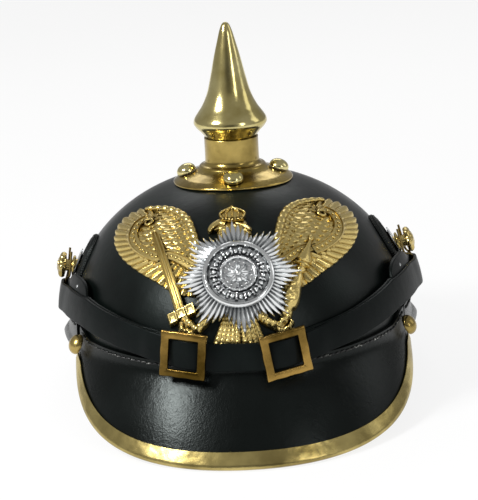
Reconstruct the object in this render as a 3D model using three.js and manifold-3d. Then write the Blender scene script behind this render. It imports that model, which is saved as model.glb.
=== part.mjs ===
// Spiked helmet: a black leather skull with two sewn peaks, brass fittings and a silver star.
// Millimetres, +Z up. The front faces -Y, and the wearer's left hand is on the +X side.
import * as THREE from "three";
import Module from "manifold-3d";

const wasm = await Module();
wasm.setup();

// Driving dimensions.
const degree = Math.PI / 180;
const gap = 0.3; // clearance between neighbouring pieces
const dome = { halfWidth: 99.3, front: 113, back: 118, rise: 81, baseZ: 47 }; // ellipsoid semi-axes
const skull = { thick: 2.4, ventRadius: 12, flare: 2, belowSeam: 7, columns: 40 };
const seam = { front: 45, side: 45, back: 27 }; // height of the stitch line round the skull

// Lap: the sewn band of a peak, flat against the skull. Towards the sides of the helmet it grows
// taller, where the sine of the angle from the front is between growFrom and growTo.
const lap = {
  thick: 2.2,
  aboveSeam: 4,
  belowSeam: 3,
  endGrowth: 5,
  growFrom: 0.8,
  growTo: 0.9,
  foot: 0.6, // how far the edge stands out at the very ends of a peak
};

// A peak's reach past the skull fades to nothing at reachSpan degrees from its middle, and its edge
// climbs from restZ, which it holds up to flatTo degrees, to endZ at riseSpan.
const frontPeak = {
  end: 62.8,
  reach: 27.4,
  reachSpan: 65,
  reachPower: 2.4,
  reachFall: 1.15,
  restZ: 2.4,
  endZ: 37,
  flatTo: 5,
  riseSpan: 64,
  risePower: 3,
  twist: 1.2, // the visor is sewn on this many degrees off the middle
  bulge: 1.5,
  columns: 26,
};
const neckGuard = {
  end: 115,
  reach: 28,
  reachSpan: 118,
  reachPower: 1.5,
  reachFall: 1.8,
  restZ: -0.14,
  endZ: 36,
  flatTo: 12,
  riseSpan: 90,
  risePower: 1.7,
  twist: 0,
  bulge: 2.6,
  columns: 36,
};
const trim = { face: 8, shareOfFlare: 0.54, sheet: 0.8 };
const strap = { width: 15, thick: 1.6, fold: 2, foldTurn: 90 };
const buckle = { width: 25.5, height: 24.5, window: 16.5, windowHeight: 16.4, thick: 2.2, seat: 8.1 };
const cockade = { radius: 21.4, hole: 5.3, pleats: 14 };
const plate = { tilt: 40, originY: -98.6, originZ: 92.8, lift: 0.6 };
const star = { points: 8, raysPerPoint: 5, tip: 34, low: 25.5, lift: 5.2, bend: 160, turn: 2 };

const finishes = {
  leather: new THREE.MeshStandardMaterial({ color: "#1b1f20", roughness: 0.42 }),
  brass: new THREE.MeshStandardMaterial({ color: "#c2a75c", roughness: 0.22, metalness: 1 }),
  stamped: new THREE.MeshStandardMaterial({ color: "#a5863c", roughness: 0.35, metalness: 1 }),
  silver: new THREE.MeshStandardMaterial({ color: "#c9ccd0", roughness: 0.25, metalness: 1 }),
};

const helmet = new THREE.Group();

function add(name, geometry, finish) {
  const mesh = new THREE.Mesh(geometry, finishes[finish]);
  mesh.name = name;
  helmet.add(mesh);
  return mesh;
}

// ---- Solids from grids of points ----

// A closed body from points and triangles, turned so that its faces point out.
function body(points, triangles) {
  let volume = 0;
  for (const [a, b, c] of triangles) {
    volume += points[a].dot(new THREE.Vector3().crossVectors(points[b], points[c]));
  }
  const order = volume < 0 ? [0, 2, 1] : [0, 1, 2];
  const geometry = new THREE.BufferGeometry().setFromPoints(points);
  geometry.setIndex(triangles.flatMap((triangle) => order.map((corner) => triangle[corner])));
  geometry.computeVertexNormals();
  return geometry;
}

// The solid between two grids of points, outer(i, j) and inner(i, j). A ring joins its last column
// to its first.
function between(outer, inner, columns, rows, ring = false) {
  const count = ring ? columns : columns + 1;
  const points = [];
  for (const face of [outer, inner]) {
    for (let i = 0; i < count; i++) {
      for (let j = 0; j <= rows; j++) {
        points.push(face(i, j));
      }
    }
  }
  const at = (face, i, j) => (face * count + (i % count)) * (rows + 1) + j;
  const triangles = [];
  const quad = (a, b, c, d) => triangles.push([a, b, c], [a, c, d]);
  for (let i = 0; i < columns; i++) {
    for (let j = 0; j < rows; j++) {
      quad(at(0, i, j), at(0, i + 1, j), at(0, i + 1, j + 1), at(0, i, j + 1));
      quad(at(1, i, j + 1), at(1, i + 1, j + 1), at(1, i + 1, j), at(1, i, j));
    }
    quad(at(1, i, 0), at(1, i + 1, 0), at(0, i + 1, 0), at(0, i, 0));
    quad(at(0, i, rows), at(0, i + 1, rows), at(1, i + 1, rows), at(1, i, rows));
  }
  if (!ring) {
    for (let j = 0; j < rows; j++) {
      quad(at(0, 0, j), at(0, 0, j + 1), at(1, 0, j + 1), at(1, 0, j));
      quad(at(1, columns, j), at(1, columns, j + 1), at(0, columns, j + 1), at(0, columns, j));
    }
  }
  return body(points, triangles);
}

// A plaque: rings of points from a centre out to a closed edge, between a raised face and a back.
// face(k, i) and back(k, i) give the point of ring k, where ring 0 is the centre.
function plaque(face, back, around, rings) {
  const points = [];
  for (const side of [face, back]) {
    points.push(side(0, 0));
    for (let k = 1; k <= rings; k++) {
      for (let i = 0; i < around; i++) {
        points.push(side(k, i));
      }
    }
  }
  const half = 1 + rings * around;
  const at = (side, k, i) => side * half + (k ? 1 + (k - 1) * around + (i % around) : 0);
  const triangles = [];
  for (let i = 0; i < around; i++) {
    triangles.push([at(0, 0, 0), at(0, 1, i), at(0, 1, i + 1)]);
    triangles.push([at(1, 0, 0), at(1, 1, i + 1), at(1, 1, i)]);
    for (let k = 1; k < rings; k++) {
      triangles.push([at(0, k, i), at(0, k + 1, i), at(0, k + 1, i + 1)]);
      triangles.push([at(0, k, i), at(0, k + 1, i + 1), at(0, k, i + 1)]);
      triangles.push([at(1, k, i), at(1, k + 1, i + 1), at(1, k + 1, i)]);
      triangles.push([at(1, k, i), at(1, k, i + 1), at(1, k + 1, i + 1)]);
    }
    triangles.push([at(0, rings, i), at(1, rings, i), at(1, rings, i + 1)]);
    triangles.push([at(0, rings, i), at(1, rings, i + 1), at(0, rings, i + 1)]);
  }
  return body(points, triangles);
}

// A turned piece: its profile runs [radius, height] from axis to axis.
function turned(profile, segments) {
  const geometry = new THREE.LatheGeometry(
    profile.map(([radius, height]) => new THREE.Vector2(radius, height)),
    segments,
  );
  return geometry.rotateX(Math.PI / 2);
}

function toManifold(geometry) {
  return new wasm.Manifold(
    new wasm.Mesh({
      numProp: 3,
      vertProperties: Float32Array.from(geometry.attributes.position.array),
      triVerts: Uint32Array.from(geometry.index.array),
    }),
  );
}

// One solid from several that overlap, as soldered or stamped metal is.
function soldered(geometries) {
  const whole = geometries.map(toManifold).reduce((sum, next) => sum.add(next));
  const mesh = whole.getMesh();
  const joined = new THREE.BufferGeometry();
  joined.setAttribute("position", new THREE.BufferAttribute(mesh.vertProperties, 3));
  joined.setIndex(new THREE.BufferAttribute(mesh.triVerts, 1));
  joined.computeVertexNormals();
  return joined;
}

// Value of a smooth curve through table rows, at a place along the named column.
function along(table, column, place, value) {
  let k = 0;
  while (k < table.length - 2 && place > table[k + 1][column]) {
    k += 1;
  }
  const row = (n) => table[Math.min(Math.max(n, 0), table.length - 1)];
  const span = row(k + 1)[column] - row(k)[column];
  const t = Math.min(Math.max((place - row(k)[column]) / span, 0), 1);
  const slope = (n) =>
    ((row(n + 1)[value] - row(n - 1)[value]) / (row(n + 1)[column] - row(n - 1)[column])) * span;
  const start = row(k)[value];
  const end = row(k + 1)[value];
  return (
    start * (1 + 2 * t) * (1 - t) ** 2 +
    slope(k) * t * (1 - t) ** 2 +
    end * t * t * (3 - 2 * t) -
    slope(k + 1) * t * t * (1 - t)
  );
}

// ---- The skull's surface ----

// A point of the skull's outer wall, pushed out by lift. The angle is 0 at the front and grows
// towards +X. Below the dome's base the wall goes straight down and flares a little.
function wall(angle, z, lift) {
  const depth = Math.cos(angle) > 0 ? dome.front : dome.back;
  const up = Math.max(0, z - dome.baseZ) / (dome.rise + lift);
  const narrow = Math.sqrt(Math.max(0, 1 - up * up));
  const flare = skull.flare * (Math.max(0, dome.baseZ - z) / dome.baseZ) ** 2;
  const acrossX = Math.sin(angle) / ((dome.halfWidth + lift) * narrow + flare);
  const acrossY = Math.cos(angle) / ((depth + lift) * narrow + flare);
  const radius = 1 / Math.hypot(acrossX, acrossY);
  return new THREE.Vector3(radius * Math.sin(angle), -radius * Math.cos(angle), z);
}

// Where the line through a point, along a direction, leaves the dome pushed out by lift.
function ontoDome(point, direction, lift) {
  const depth = point.y > 0 ? dome.back : dome.front;
  const axes = new THREE.Vector3(dome.halfWidth, depth, dome.rise).addScalar(lift);
  const p = point.clone().sub(new THREE.Vector3(0, 0, dome.baseZ)).divide(axes);
  const d = direction.clone().divide(axes);
  const half = p.dot(d) / d.lengthSq();
  const step = -half + Math.sqrt(half * half - (p.lengthSq() - 1) / d.lengthSq());
  return point.clone().addScaledVector(direction, step);
}

function domeHeight(angle, radius, lift) {
  const above = new THREE.Vector3(radius * Math.sin(angle), -radius * Math.cos(angle), 0);
  return ontoDome(above, new THREE.Vector3(0, 0, 1), lift).z;
}

function seamHeight(angle) {
  const side = Math.abs(Math.sin(angle));
  const end = Math.cos(angle) > 0 ? seam.front : seam.back;
  return seam.side + (end - seam.side) * (1 - side ** 6);
}

// Skull: one moulded leather shell, open below, with the vent hole under the spike.
const skullRows = 9;
const bandRows = 2;

function skullPoint(i, j, lift) {
  const angle = (i / skull.columns) * 2 * Math.PI;
  const rimZ = seamHeight(angle) - skull.belowSeam;
  if (j <= bandRows) {
    return wall(angle, THREE.MathUtils.lerp(rimZ, dome.baseZ, j / bandRows), lift);
  }
  const top = Math.acos(skull.ventRadius / dome.halfWidth);
  const tilt = (top * (j - bandRows)) / (skullRows - bandRows);
  return wall(angle, dome.baseZ + (dome.rise + lift) * Math.sin(tilt), lift);
}

add(
  "skull",
  between(
    (i, j) => skullPoint(i, j, 0),
    (i, j) => skullPoint(i, j, -skull.thick),
    skull.columns,
    skullRows,
    true,
  ),
  "leather",
);

// ---- Peaks ----

// Rows of a peak, from its free edge (0) over the flare to the bend (1) and up the sewn lap (2).
const peakRows = [0, 0.2, 0.5, 0.8, 1, 2];

// A point on a peak's outer face. The reach past the skull fades from the middle to the two ends,
// where the edge rises to the side rivets and the lap grows taller.
function peakPoint(peak, facing, turn, place) {
  const angle = facing + turn;
  const bendZ = seamHeight(angle) - lap.belowSeam;
  const lift = gap + lap.thick;
  if (place > 1) {
    const taller = lap.endGrowth * smooth(lap.growFrom, lap.growTo, Math.abs(Math.sin(angle)));
    return wall(angle, bendZ + (place - 1) * (lap.aboveSeam + lap.belowSeam + taller), lift);
  }
  const fromMiddle = Math.abs(turn / degree - peak.twist);
  const share = Math.min(fromMiddle / peak.reachSpan, 1);
  const fade = (1 - share ** peak.reachPower) ** peak.reachFall;
  const reach = lap.foot + peak.reach * fade;
  const rise = Math.min(Math.max(0, fromMiddle - peak.flatTo) / (peak.riseSpan - peak.flatTo), 1);
  const edgeZ = THREE.MathUtils.lerp(peak.restZ, peak.endZ, rise ** peak.risePower);
  const bend = wall(angle, bendZ, lift);
  const outward = new THREE.Vector3(Math.sin(angle), -Math.cos(angle), 0);
  const edge = bend.clone().addScaledVector(outward, reach).setZ(edgeZ);
  const bow = peak.bulge * 4 * place * (1 - place) * Math.sqrt(fade);
  return edge.lerp(bend, place).addScaledVector(outward, bow);
}

// Outward normal of a peak's outer face.
function peakNormal(peak, facing, turn, place) {
  const at = Math.min(place, 0.99);
  const low = peakPoint(peak, facing, turn, Math.max(0, at - 0.05));
  const high = peakPoint(peak, facing, turn, Math.min(1, at + 0.05));
  const left = peakPoint(peak, facing, turn - 0.01, at);
  const right = peakPoint(peak, facing, turn + 0.01, at);
  return right.sub(left).cross(high.sub(low)).normalize();
}

function peakTurn(peak, i) {
  return (peak.twist + THREE.MathUtils.lerp(-peak.end, peak.end, i / peak.columns)) * degree;
}

// The face of the leather away from the eye. On the lap it stays upright against the skull, and at
// the free edge it keeps the edge's height, so that the edge is cut flat.
function peakBack(peak, facing, turn, place) {
  const outer = peakPoint(peak, facing, turn, place);
  const normal = peakNormal(peak, facing, turn, place);
  if (place >= 1 || place === 0) {
    normal.setZ(0);
    const lean = place === 0 ? peakNormal(peak, facing, turn, 0).setZ(0).length() : 1;
    return outer.addScaledVector(normal.normalize(), -lap.thick / lean);
  }
  return outer.addScaledVector(normal, -lap.thick);
}

function peakSolid(peak, facing) {
  return between(
    (i, j) => peakPoint(peak, facing, peakTurn(peak, i), peakRows[j]),
    (i, j) => peakBack(peak, facing, peakTurn(peak, i), peakRows[j]),
    peak.columns,
    peakRows.length - 1,
  );
}

// Front visor, sewn over the skull's rim.
add("front_visor", peakSolid(frontPeak, 0), "leather");

// Neck guard, the same leather behind. Its edge is as low as the visor's metal trim.
add("neck_guard", peakSolid(neckGuard, Math.PI), "leather");

// Visor trim: a brass channel folded over the visor's edge, wider on top than below.
// along is measured in from the leather's edge, and out from its outer face.
const channelOuter = [
  { along: 1, out: gap + trim.sheet },
  { along: 0.12, out: 1.5 },
  { along: -1.4, out: 1.1, fixed: true },
  { along: -1.9, out: -1.2, fixed: true },
  { along: -1, out: -3.4, fixed: true },
  { along: 0.72, out: -lap.thick - gap - trim.sheet },
];
const channelInner = [
  { along: 1, out: gap },
  { along: 0.12, out: gap },
  { along: -0.4, out: gap, fixed: true },
  { along: -0.6, out: -1.1, fixed: true },
  { along: -0.5, out: -lap.thick - gap, fixed: true },
  { along: 0.72, out: -lap.thick - gap },
];

function channelPoint(turn, { along: inward, out, fixed }) {
  const edge = peakPoint(frontPeak, 0, turn, 0);
  const length = edge.distanceTo(peakPoint(frontPeak, 0, turn, 1));
  const normal = peakNormal(frontPeak, 0, turn, 0);
  const face = Math.min(trim.face, length * trim.shareOfFlare);
  if (fixed) {
    const slope = peakPoint(frontPeak, 0, turn, 0.1).sub(edge).normalize();
    return edge.addScaledVector(slope, inward).addScaledVector(normal, out);
  }
  return peakPoint(frontPeak, 0, turn, (inward * face) / length).addScaledVector(normal, out);
}

add(
  "front_visor_trim",
  between(
    (i, j) => channelPoint(peakTurn(frontPeak, i), channelOuter[j]),
    (i, j) => channelPoint(peakTurn(frontPeak, i), channelInner[j]),
    frontPeak.columns,
    channelOuter.length - 1,
  ),
  "brass",
);

// ---- Spike and its base ----

// Base: spun brass. Its skirt follows the leather, and its neck is a plain tube.
const baseColumns = 20;
const baseRows = [
  { outer: 35, inner: 34.6, top: null },
  { outer: 31.5, inner: 31.2, top: 127.2 },
  { outer: 26, inner: 25.6, top: 129 },
  { outer: 20.6, inner: 20, top: 131.2 },
  { outer: 18.6, inner: 17.4, top: 133.2 },
  { outer: 16.4, inner: 15, top: 134.6 },
  { outer: 15.8, inner: 14.4, top: 149.3 },
];
const baseSheet = 1.2;

function basePoint(i, row, outside) {
  const angle = (i / baseColumns) * 2 * Math.PI;
  const radius = outside ? row.outer : row.inner;
  const isNeck = row === baseRows.at(-1);
  const z = row.top === null ? domeHeight(angle, row.outer, gap) + 0.2 + baseSheet : row.top;
  return new THREE.Vector3(
    radius * Math.sin(angle),
    -radius * Math.cos(angle),
    outside || isNeck ? z : z - baseSheet,
  );
}

add(
  "spike_base",
  between(
    (i, j) => basePoint(i, baseRows[j], true),
    (i, j) => basePoint(i, baseRows[j], false),
    baseColumns,
    baseRows.length - 1,
    true,
  ),
  "brass",
);

// Spike: a hollow spun cone that flares to a rounded lip, over a collar that screws into the base.
// The profile runs up the inside and down the outside.
const spikeProfile = [
  [0, 203],
  [9, 176],
  [13.4, 158],
  [13.4, 149.6],
  [15, 149.6],
  [15, 151.9],
  [17.6, 153.3],
  [20.7, 156.2],
  [21.4, 158],
  [20.8, 160.6],
  [18.4, 164.2],
  [15.9, 167.9],
  [12.7, 175],
  [10.1, 185],
  [7.7, 195.6],
  [5.2, 205.2],
  [3.4, 211.3],
  [2, 214.4],
  [0, 215.6],
];

add("spike", turned(spikeProfile, 20), "brass");

// A turned head set on a surface: it stands at a point, along an outward direction.
function stand(mesh, point, direction) {
  mesh.position.copy(point);
  mesh.quaternion.setFromUnitVectors(new THREE.Vector3(0, 0, 1), direction.clone().normalize());
}

function domedHead(radius, height) {
  return [
    [0, 0],
    [radius, 0],
    [radius * 0.9, height * 0.45],
    [radius * 0.55, height * 0.86],
    [0, height],
  ];
}

// Base studs: four domed brass heads on the skirt, at the front, the sides and the back.
const studRing = { radius: 27, height: 129.4, slope: 20 };
["front", "left", "back", "right"].forEach((place, k) => {
  const angle = (k * Math.PI) / 2;
  const outward = new THREE.Vector3(Math.sin(angle), -Math.cos(angle), 0);
  const stud = add(`base_stud_${place}`, turned(domedHead(5.8, 4.8), 10), "brass");
  const foot = outward.clone().multiplyScalar(studRing.radius).setZ(studRing.height);
  const slope = studRing.slope * degree;
  stand(stud, foot, outward.multiplyScalar(Math.sin(slope)).setZ(Math.cos(slope)));
});

// ---- Front plate: an eagle stamped from brass and bent to the skull ----

// The plate is laid out on a plane that leans back over the front of the dome. u runs to the right
// and v up the slope, from the middle of the star.
const plateNormal = new THREE.Vector3(0, -Math.cos(plate.tilt * degree), Math.sin(plate.tilt * degree));
const plateUp = new THREE.Vector3(0, Math.sin(plate.tilt * degree), Math.cos(plate.tilt * degree));

function onPlane(u, v) {
  return new THREE.Vector3(u, plate.originY, plate.originZ).addScaledVector(plateUp, v);
}

function onPlate(u, v, lift) {
  return ontoDome(onPlane(u, v), plateNormal, lift);
}

function smooth(low, high, value) {
  return THREE.MathUtils.smoothstep(value, low, high);
}

// A closed smooth outline through table rows { u, v }.
function outline(rows) {
  return new THREE.CatmullRomCurve3(rows.map(({ u, v }) => new THREE.Vector3(u, v, 0)), true);
}

// A stamped patch: rings from a middle out to an outline, raised by height(share of the way out,
// share of the way round).
function stamped(rows, middle, around, rings, height) {
  const edge = outline(rows).getSpacedPoints(around);
  const place = (k, i) => [
    THREE.MathUtils.lerp(middle.u, edge[i % around].x, k / rings),
    THREE.MathUtils.lerp(middle.v, edge[i % around].y, k / rings),
  ];
  return plaque(
    (k, i) => onPlate(...place(k, i), plate.lift + height(k / rings, i / around, i)),
    (k, i) => onPlate(...place(k, i), plate.lift),
    around,
    rings,
  );
}

// A stamped bar along a smooth line: half its width and its height are table columns.
function bar(line, rows, steps, across) {
  const curve = new THREE.CatmullRomCurve3(line.map(([u, v]) => new THREE.Vector3(u, v, 0)));
  const place = (i, j) => {
    const middle = curve.getPoint(i / steps);
    const ahead = curve.getTangent(i / steps);
    const side = along(rows, "at", i / steps, "half") * ((2 * j) / (across.length - 1) - 1);
    return [middle.x + ahead.y * side, middle.y - ahead.x * side];
  };
  const rise = (i, j) => 0.5 + along(rows, "at", i / steps, "height") * across[j];
  return between(
    (i, j) => onPlate(...place(i, j), plate.lift + rise(i, j)),
    (i, j) => onPlate(...place(i, j), plate.lift),
    steps,
    across.length - 1,
  );
}

// Wing outline, from the root under the star up the leading edge and round the feather tips.
const wingOutline = [
  { u: 21, v: 8 },
  { u: 22, v: 25 },
  { u: 26, v: 43 },
  { u: 38, v: 56.5 },
  { u: 55, v: 63.5 },
  { u: 66.5, v: 57 },
  { u: 68.5, v: 43 },
  { u: 63, v: 24.5 },
  { u: 52, v: 11 },
  { u: 41, v: -0.5 },
  { u: 31, v: -6.5 },
  { u: 22, v: -6 },
];
const wingAround = 34;

// Feathers: ridges that run to a scalloped edge, behind a thick rolled leading edge.
function wingHeight(out, round, i) {
  const feathers = smooth(0.3, 0.36, round) * (1 - smooth(0.9, 0.96, round));
  const ridge = (i % 2 ? -0.35 : 0.35) * feathers * out;
  const roll = 1.3 * (1 - smooth(0.26, 0.36, round)) * smooth(0.05, 0.1, round) * smooth(0.5, 0.8, out);
  return 1.5 + ridge + roll * (1 - 0.5 * smooth(0.85, 1, out)) - 0.5 * feathers * smooth(0.6, 1, out);
}

function wing(side) {
  const mirrored = (rows) => rows.map(({ u, v }) => ({ u: side * u, v }));
  const ribbon = (line) => line.map(([u, v]) => [side * u, v]);
  const flat = [1, 1];
  return [
    stamped(mirrored(wingOutline), { u: side * 44, v: 28 }, wingAround, 2, wingHeight),
    bar(ribbon(wingRibbon.outer), wingRibbon.size, 6, flat),
    bar(ribbon(wingRibbon.inner), wingRibbon.size, 4, flat),
  ];
}

// A scroll over each wing, left plain. The sword or the sceptre lies over its fold.
const wingRibbon = {
  outer: [
    [57, 45],
    [58, 37],
    [54, 28],
    [44, 17.5],
  ],
  inner: [
    [41, 19.5],
    [33, 14.5],
    [24, 9],
  ],
  size: [
    { at: 0, half: 3.6, height: 1.7 },
    { at: 1, half: 3.6, height: 1.7 },
  ],
};

// Breast, hidden by the star, which joins the wings, the neck, the tail and the legs.
const breastOutline = [
  { u: -24, v: 2 },
  { u: 0, v: -21 },
  { u: 24, v: 2 },
  { u: 0, v: 22 },
];

// Neck and head, turned to the wearer's right, with a hooked beak.
const headOutline = [
  { u: -7, v: 20 },
  { u: 6, v: 20 },
  { u: 6.2, v: 30 },
  { u: 4.5, v: 38.5 },
  { u: -3, v: 40 },
  { u: -8.5, v: 38.4 },
  { u: -12.6, v: 35.6 },
  { u: -14.2, v: 31.4 },
  { u: -11, v: 32.6 },
  { u: -8, v: 30.5 },
];

const crownOutline = [
  { u: -8.4, v: 37.6 },
  { u: -2, v: 36.6 },
  { u: 5, v: 37.6 },
  { u: 5.2, v: 43.4 },
  { u: 1.4, v: 45.6 },
  { u: -1.6, v: 48.4 },
  { u: -4.6, v: 45.6 },
  { u: -8.6, v: 43.4 },
];

// Tail: a fan of feathers, split in the middle, that runs down behind the chin strap.
const tailOutline = [
  { u: -9, v: -16 },
  { u: -12, v: -24 },
  { u: -15, v: -33 },
  { u: -9, v: -36 },
  { u: -2, v: -34 },
  { u: -1, v: -30 },
  { u: 0.5, v: -34 },
  { u: 7, v: -36 },
  { u: 11.5, v: -33 },
  { u: 9, v: -24 },
  { u: 6, v: -16 },
];

const sword = {
  line: [
    [-45, 36.8],
    [-32, -17],
  ],
  size: [
    { at: 0, half: 0.8, height: 2.2 },
    { at: 0.06, half: 1.7, height: 3 },
    { at: 1, half: 2.1, height: 3 },
  ],
  guardLine: [
    [-37.8, -18.6],
    [-31.4, -16.8],
    [-24.6, -15.2],
  ],
  guardSize: [
    { at: 0, half: 2.6, height: 2.6 },
    { at: 0.3, half: 2.4, height: 2.6 },
    { at: 0.5, half: 1.8, height: 3.2 },
    { at: 0.7, half: 2.4, height: 2.6 },
    { at: 1, half: 2.6, height: 2.6 },
  ],
};

const sceptre = {
  line: [
    [41, 26.4],
    [30.5, -3],
    [22, -27],
  ],
  size: [
    { at: 0, half: 0.6, height: 2.2 },
    { at: 0.28, half: 2.9, height: 3.4 },
    { at: 0.33, half: 1.8, height: 3 },
    { at: 0.38, half: 2.5, height: 3.4 },
    { at: 0.44, half: 1.7, height: 2.8 },
    { at: 0.72, half: 3.6, height: 3.8 },
    { at: 0.82, half: 1.6, height: 2.6 },
    { at: 0.94, half: 2.6, height: 3.2 },
    { at: 1, half: 1.6, height: 2.6 },
  ],
};

// Legs: each runs out from under the star and closes round the sword's grip or the sceptre.
const leg = {
  right: [
    [-14, -15],
    [-18, -22],
    [-23.6, -27],
    [-26.5, -26],
    [-29, -21],
    [-31, -17],
  ],
  left: [
    [8, -15],
    [11.5, -22.5],
    [17, -27],
    [22, -26],
    [24.5, -22],
  ],
  size: [
    { at: 0, half: 2.2, height: 2 },
    { at: 0.5, half: 2, height: 2.2 },
    { at: 0.8, half: 2.6, height: 2.8 },
    { at: 1, half: 1.6, height: 2.4 },
  ],
};

const ridged = (depth, level) => (out, round, i) => level + (i % 2 ? -depth : depth) * out;
const domed = (middle, rim) => (out) => THREE.MathUtils.lerp(middle, rim, out * out);

add(
  "eagle_plate",
  soldered([
    ...wing(-1),
    ...wing(1),
    stamped(breastOutline, { u: 0, v: 0 }, 8, 2, () => 1.6),
    stamped(headOutline, { u: -2, v: 30 }, 20, 2, domed(3, 1.2)),
    stamped(crownOutline, { u: -1.7, v: 41.5 }, 14, 2, domed(3.4, 1.4)),
    stamped(tailOutline, { u: -1.6, v: -22 }, 22, 2, ridged(0.3, 1.6)),
    bar(sword.line, sword.size, 5, [0.3, 1, 0.3]),
    bar(sword.guardLine, sword.guardSize, 4, [0.8, 1, 0.8]),
    bar(sceptre.line, sceptre.size, 13, [0.2, 1, 0.2]),
    bar(leg.right, leg.size, 5, [0, 1, 0]),
    bar(leg.left, leg.size, 5, [0, 1, 0]),
  ]),
  "stamped",
);

// ---- Star: silver, with stepped rays and a double ring, riveted over the eagle's breast ----

function onStar(u, v, lift) {
  const point = onPlate(0, 0, star.lift).addScaledVector(plateUp, v).setX(u);
  return point.addScaledVector(plateNormal, lift - (u * u + v * v) / (2 * star.bend));
}

// Length of each ray: longest at the eight points and stepped down between them.
function rayLength(ray) {
  const step = Math.abs(((ray + star.raysPerPoint / 2) % star.raysPerPoint) - star.raysPerPoint / 2);
  return THREE.MathUtils.lerp(star.tip, star.low, step / (star.raysPerPoint / 2));
}

const rayCount = star.points * star.raysPerPoint;
const starRings = [
  { radius: 0, rise: 2 },
  { radius: 15, rise: 2 },
];

function starPlace(k, i) {
  const isRidge = i % 2 === 0;
  const tip = isRidge ? rayLength(i / 2) : 0.93 * Math.min(rayLength((i - 1) / 2), rayLength((i + 1) / 2));
  const radius = k < 2 ? starRings[k].radius : tip;
  const angle = (i / (2 * rayCount)) * 2 * Math.PI + star.turn * degree;
  return { u: -radius * Math.sin(angle), v: radius * Math.cos(angle), isRidge };
}

function starFace(k, i) {
  const { u, v, isRidge } = starPlace(k, i);
  return onStar(u, v, k < 2 ? (isRidge || k === 0 ? 2 : 1.4) : isRidge ? 1 : 0.8);
}

function starBack(k, i) {
  const { u, v } = starPlace(k, i);
  return onStar(u, v, 0);
}

// Boss: a double ring round a plain channel and a small domed centre. Columns are mm.
const bossRows = [
  { radius: 0, rise: 4.6 },
  { radius: 8.6, rise: 2.7 },
  { radius: 9.7, rise: 3.6 },
  { radius: 10.8, rise: 2.7 },
  { radius: 16.4, rise: 2.7 },
  { radius: 17.8, rise: 3.6 },
  { radius: 19.2, rise: 2.4 },
];
const bossAround = 20;

function bossPoint(k, i, lift) {
  const angle = (i / bossAround) * 2 * Math.PI;
  return onStar(bossRows[k].radius * Math.sin(angle), bossRows[k].radius * Math.cos(angle), lift);
}

add(
  "star",
  soldered([
    plaque(starFace, starBack, 2 * rayCount, 2),
    plaque(
      (k, i) => bossPoint(k, i, bossRows[k].rise),
      (k, i) => bossPoint(k, i, 0.4),
      bossAround,
      bossRows.length - 1,
    ),
  ]),
  "silver",
);

// ---- Side fittings, mirrored from one description. side is 1 on the wearer's left ----

// Cockade: a pleated black disc bent to the side of the skull, with a hole for the post.
const cockadeRings = [
  { radius: cockade.hole, rise: 1.8 },
  { radius: 15, rise: 2.2 },
  { radius: cockade.radius, rise: 1.3 },
];

function sidePoint(side, height) {
  const x = dome.halfWidth * Math.sqrt(1 - ((height - dome.baseZ) / dome.rise) ** 2);
  return new THREE.Vector3(side * x, 0, height);
}

function cockadePoint({ side, postZ }, i, j, back) {
  const middle = sidePoint(side, postZ);
  const outward = new THREE.Vector3(
    middle.x / dome.halfWidth ** 2,
    0,
    (middle.z - dome.baseZ) / dome.rise ** 2,
  ).normalize();
  const upward = new THREE.Vector3(0, -side, 0).cross(outward);
  const angle = (i / (2 * cockade.pleats)) * 2 * Math.PI;
  const { radius, rise } = cockadeRings[j];
  const pleat = i % 2 ? 0 : 1;
  const reach = j === cockadeRings.length - 1 ? radius - 1.2 * pleat : radius;
  const point = middle
    .clone()
    .addScaledVector(new THREE.Vector3(0, 1, 0), reach * Math.cos(angle))
    .addScaledVector(upward, reach * Math.sin(angle));
  const lift = back ? 0.5 : rise - (j ? 0.7 * pleat : 0);
  return ontoDome(point.addScaledVector(outward, -30), outward, lift);
}

function cockadeSolid(pair) {
  return between(
    (i, j) => cockadePoint(pair, i, j, false),
    (i, j) => cockadePoint(pair, i, j, true),
    2 * cockade.pleats,
    cockadeRings.length - 1,
    true,
  );
}

// Post: a turned stem with a flange against the cockade and a lobed cap that holds the strap pin.
const postProfile = [
  [0, 1.2],
  [4.2, 1.2],
  [4.2, 3.6],
  [6, 3.6],
  [6, 5.2],
  [3.4, 5.5],
  [3.4, 9.2],
  [6.4, 9.2],
  [6.9, 10.4],
  [6.8, 12.2],
  [4.6, 13.5],
  [2, 14.2],
  [0, 14.2],
];
const capLobes = 6;

function postSolid() {
  const geometry = turned(postProfile, 2 * capLobes);
  const position = geometry.attributes.position;
  for (let n = 0; n < position.count; n++) {
    const angle = Math.atan2(position.getY(n), position.getX(n));
    const lobe = position.getZ(n) > 8 ? 1 + 0.1 * Math.cos(capLobes * angle) : 1;
    position.setX(n, position.getX(n) * lobe);
    position.setY(n, position.getY(n) * lobe);
  }
  return geometry;
}

// ---- Chin strap: leather strips held together by two plain buckles ----

// Middle height of the strap round the front, and how far its middle is from the skull.
const strapRun = [
  { turn: 0, height: 53, out: 5.5 },
  { turn: 6, height: 53.3, out: 5.5 },
  { turn: 14, height: 55.3, out: 5.5 },
  { turn: 24, height: 58.6, out: 5.5 },
  { turn: 40, height: 62.4, out: 4.9 },
  { turn: 55, height: 65.6, out: 5.4 },
  { turn: 72, height: 64.4, out: 5.8 },
  { turn: 90, height: 60.2, out: 6.3 },
];

// The wearer's left end of the strap is pulled up and out, to its higher post.
const leftEnd = { rise: 4.2, out: 2, from: 30, to: 88 };

function strapPoint(turn, across, out) {
  const pulled = smooth(leftEnd.from, leftEnd.to, turn);
  const height = along(strapRun, "turn", Math.abs(turn), "height") + leftEnd.rise * pulled;
  return wall(turn * degree, height + across, out + leftEnd.out * pulled);
}

function strapOut(turn) {
  return along(strapRun, "turn", Math.abs(turn), "out");
}

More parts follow.
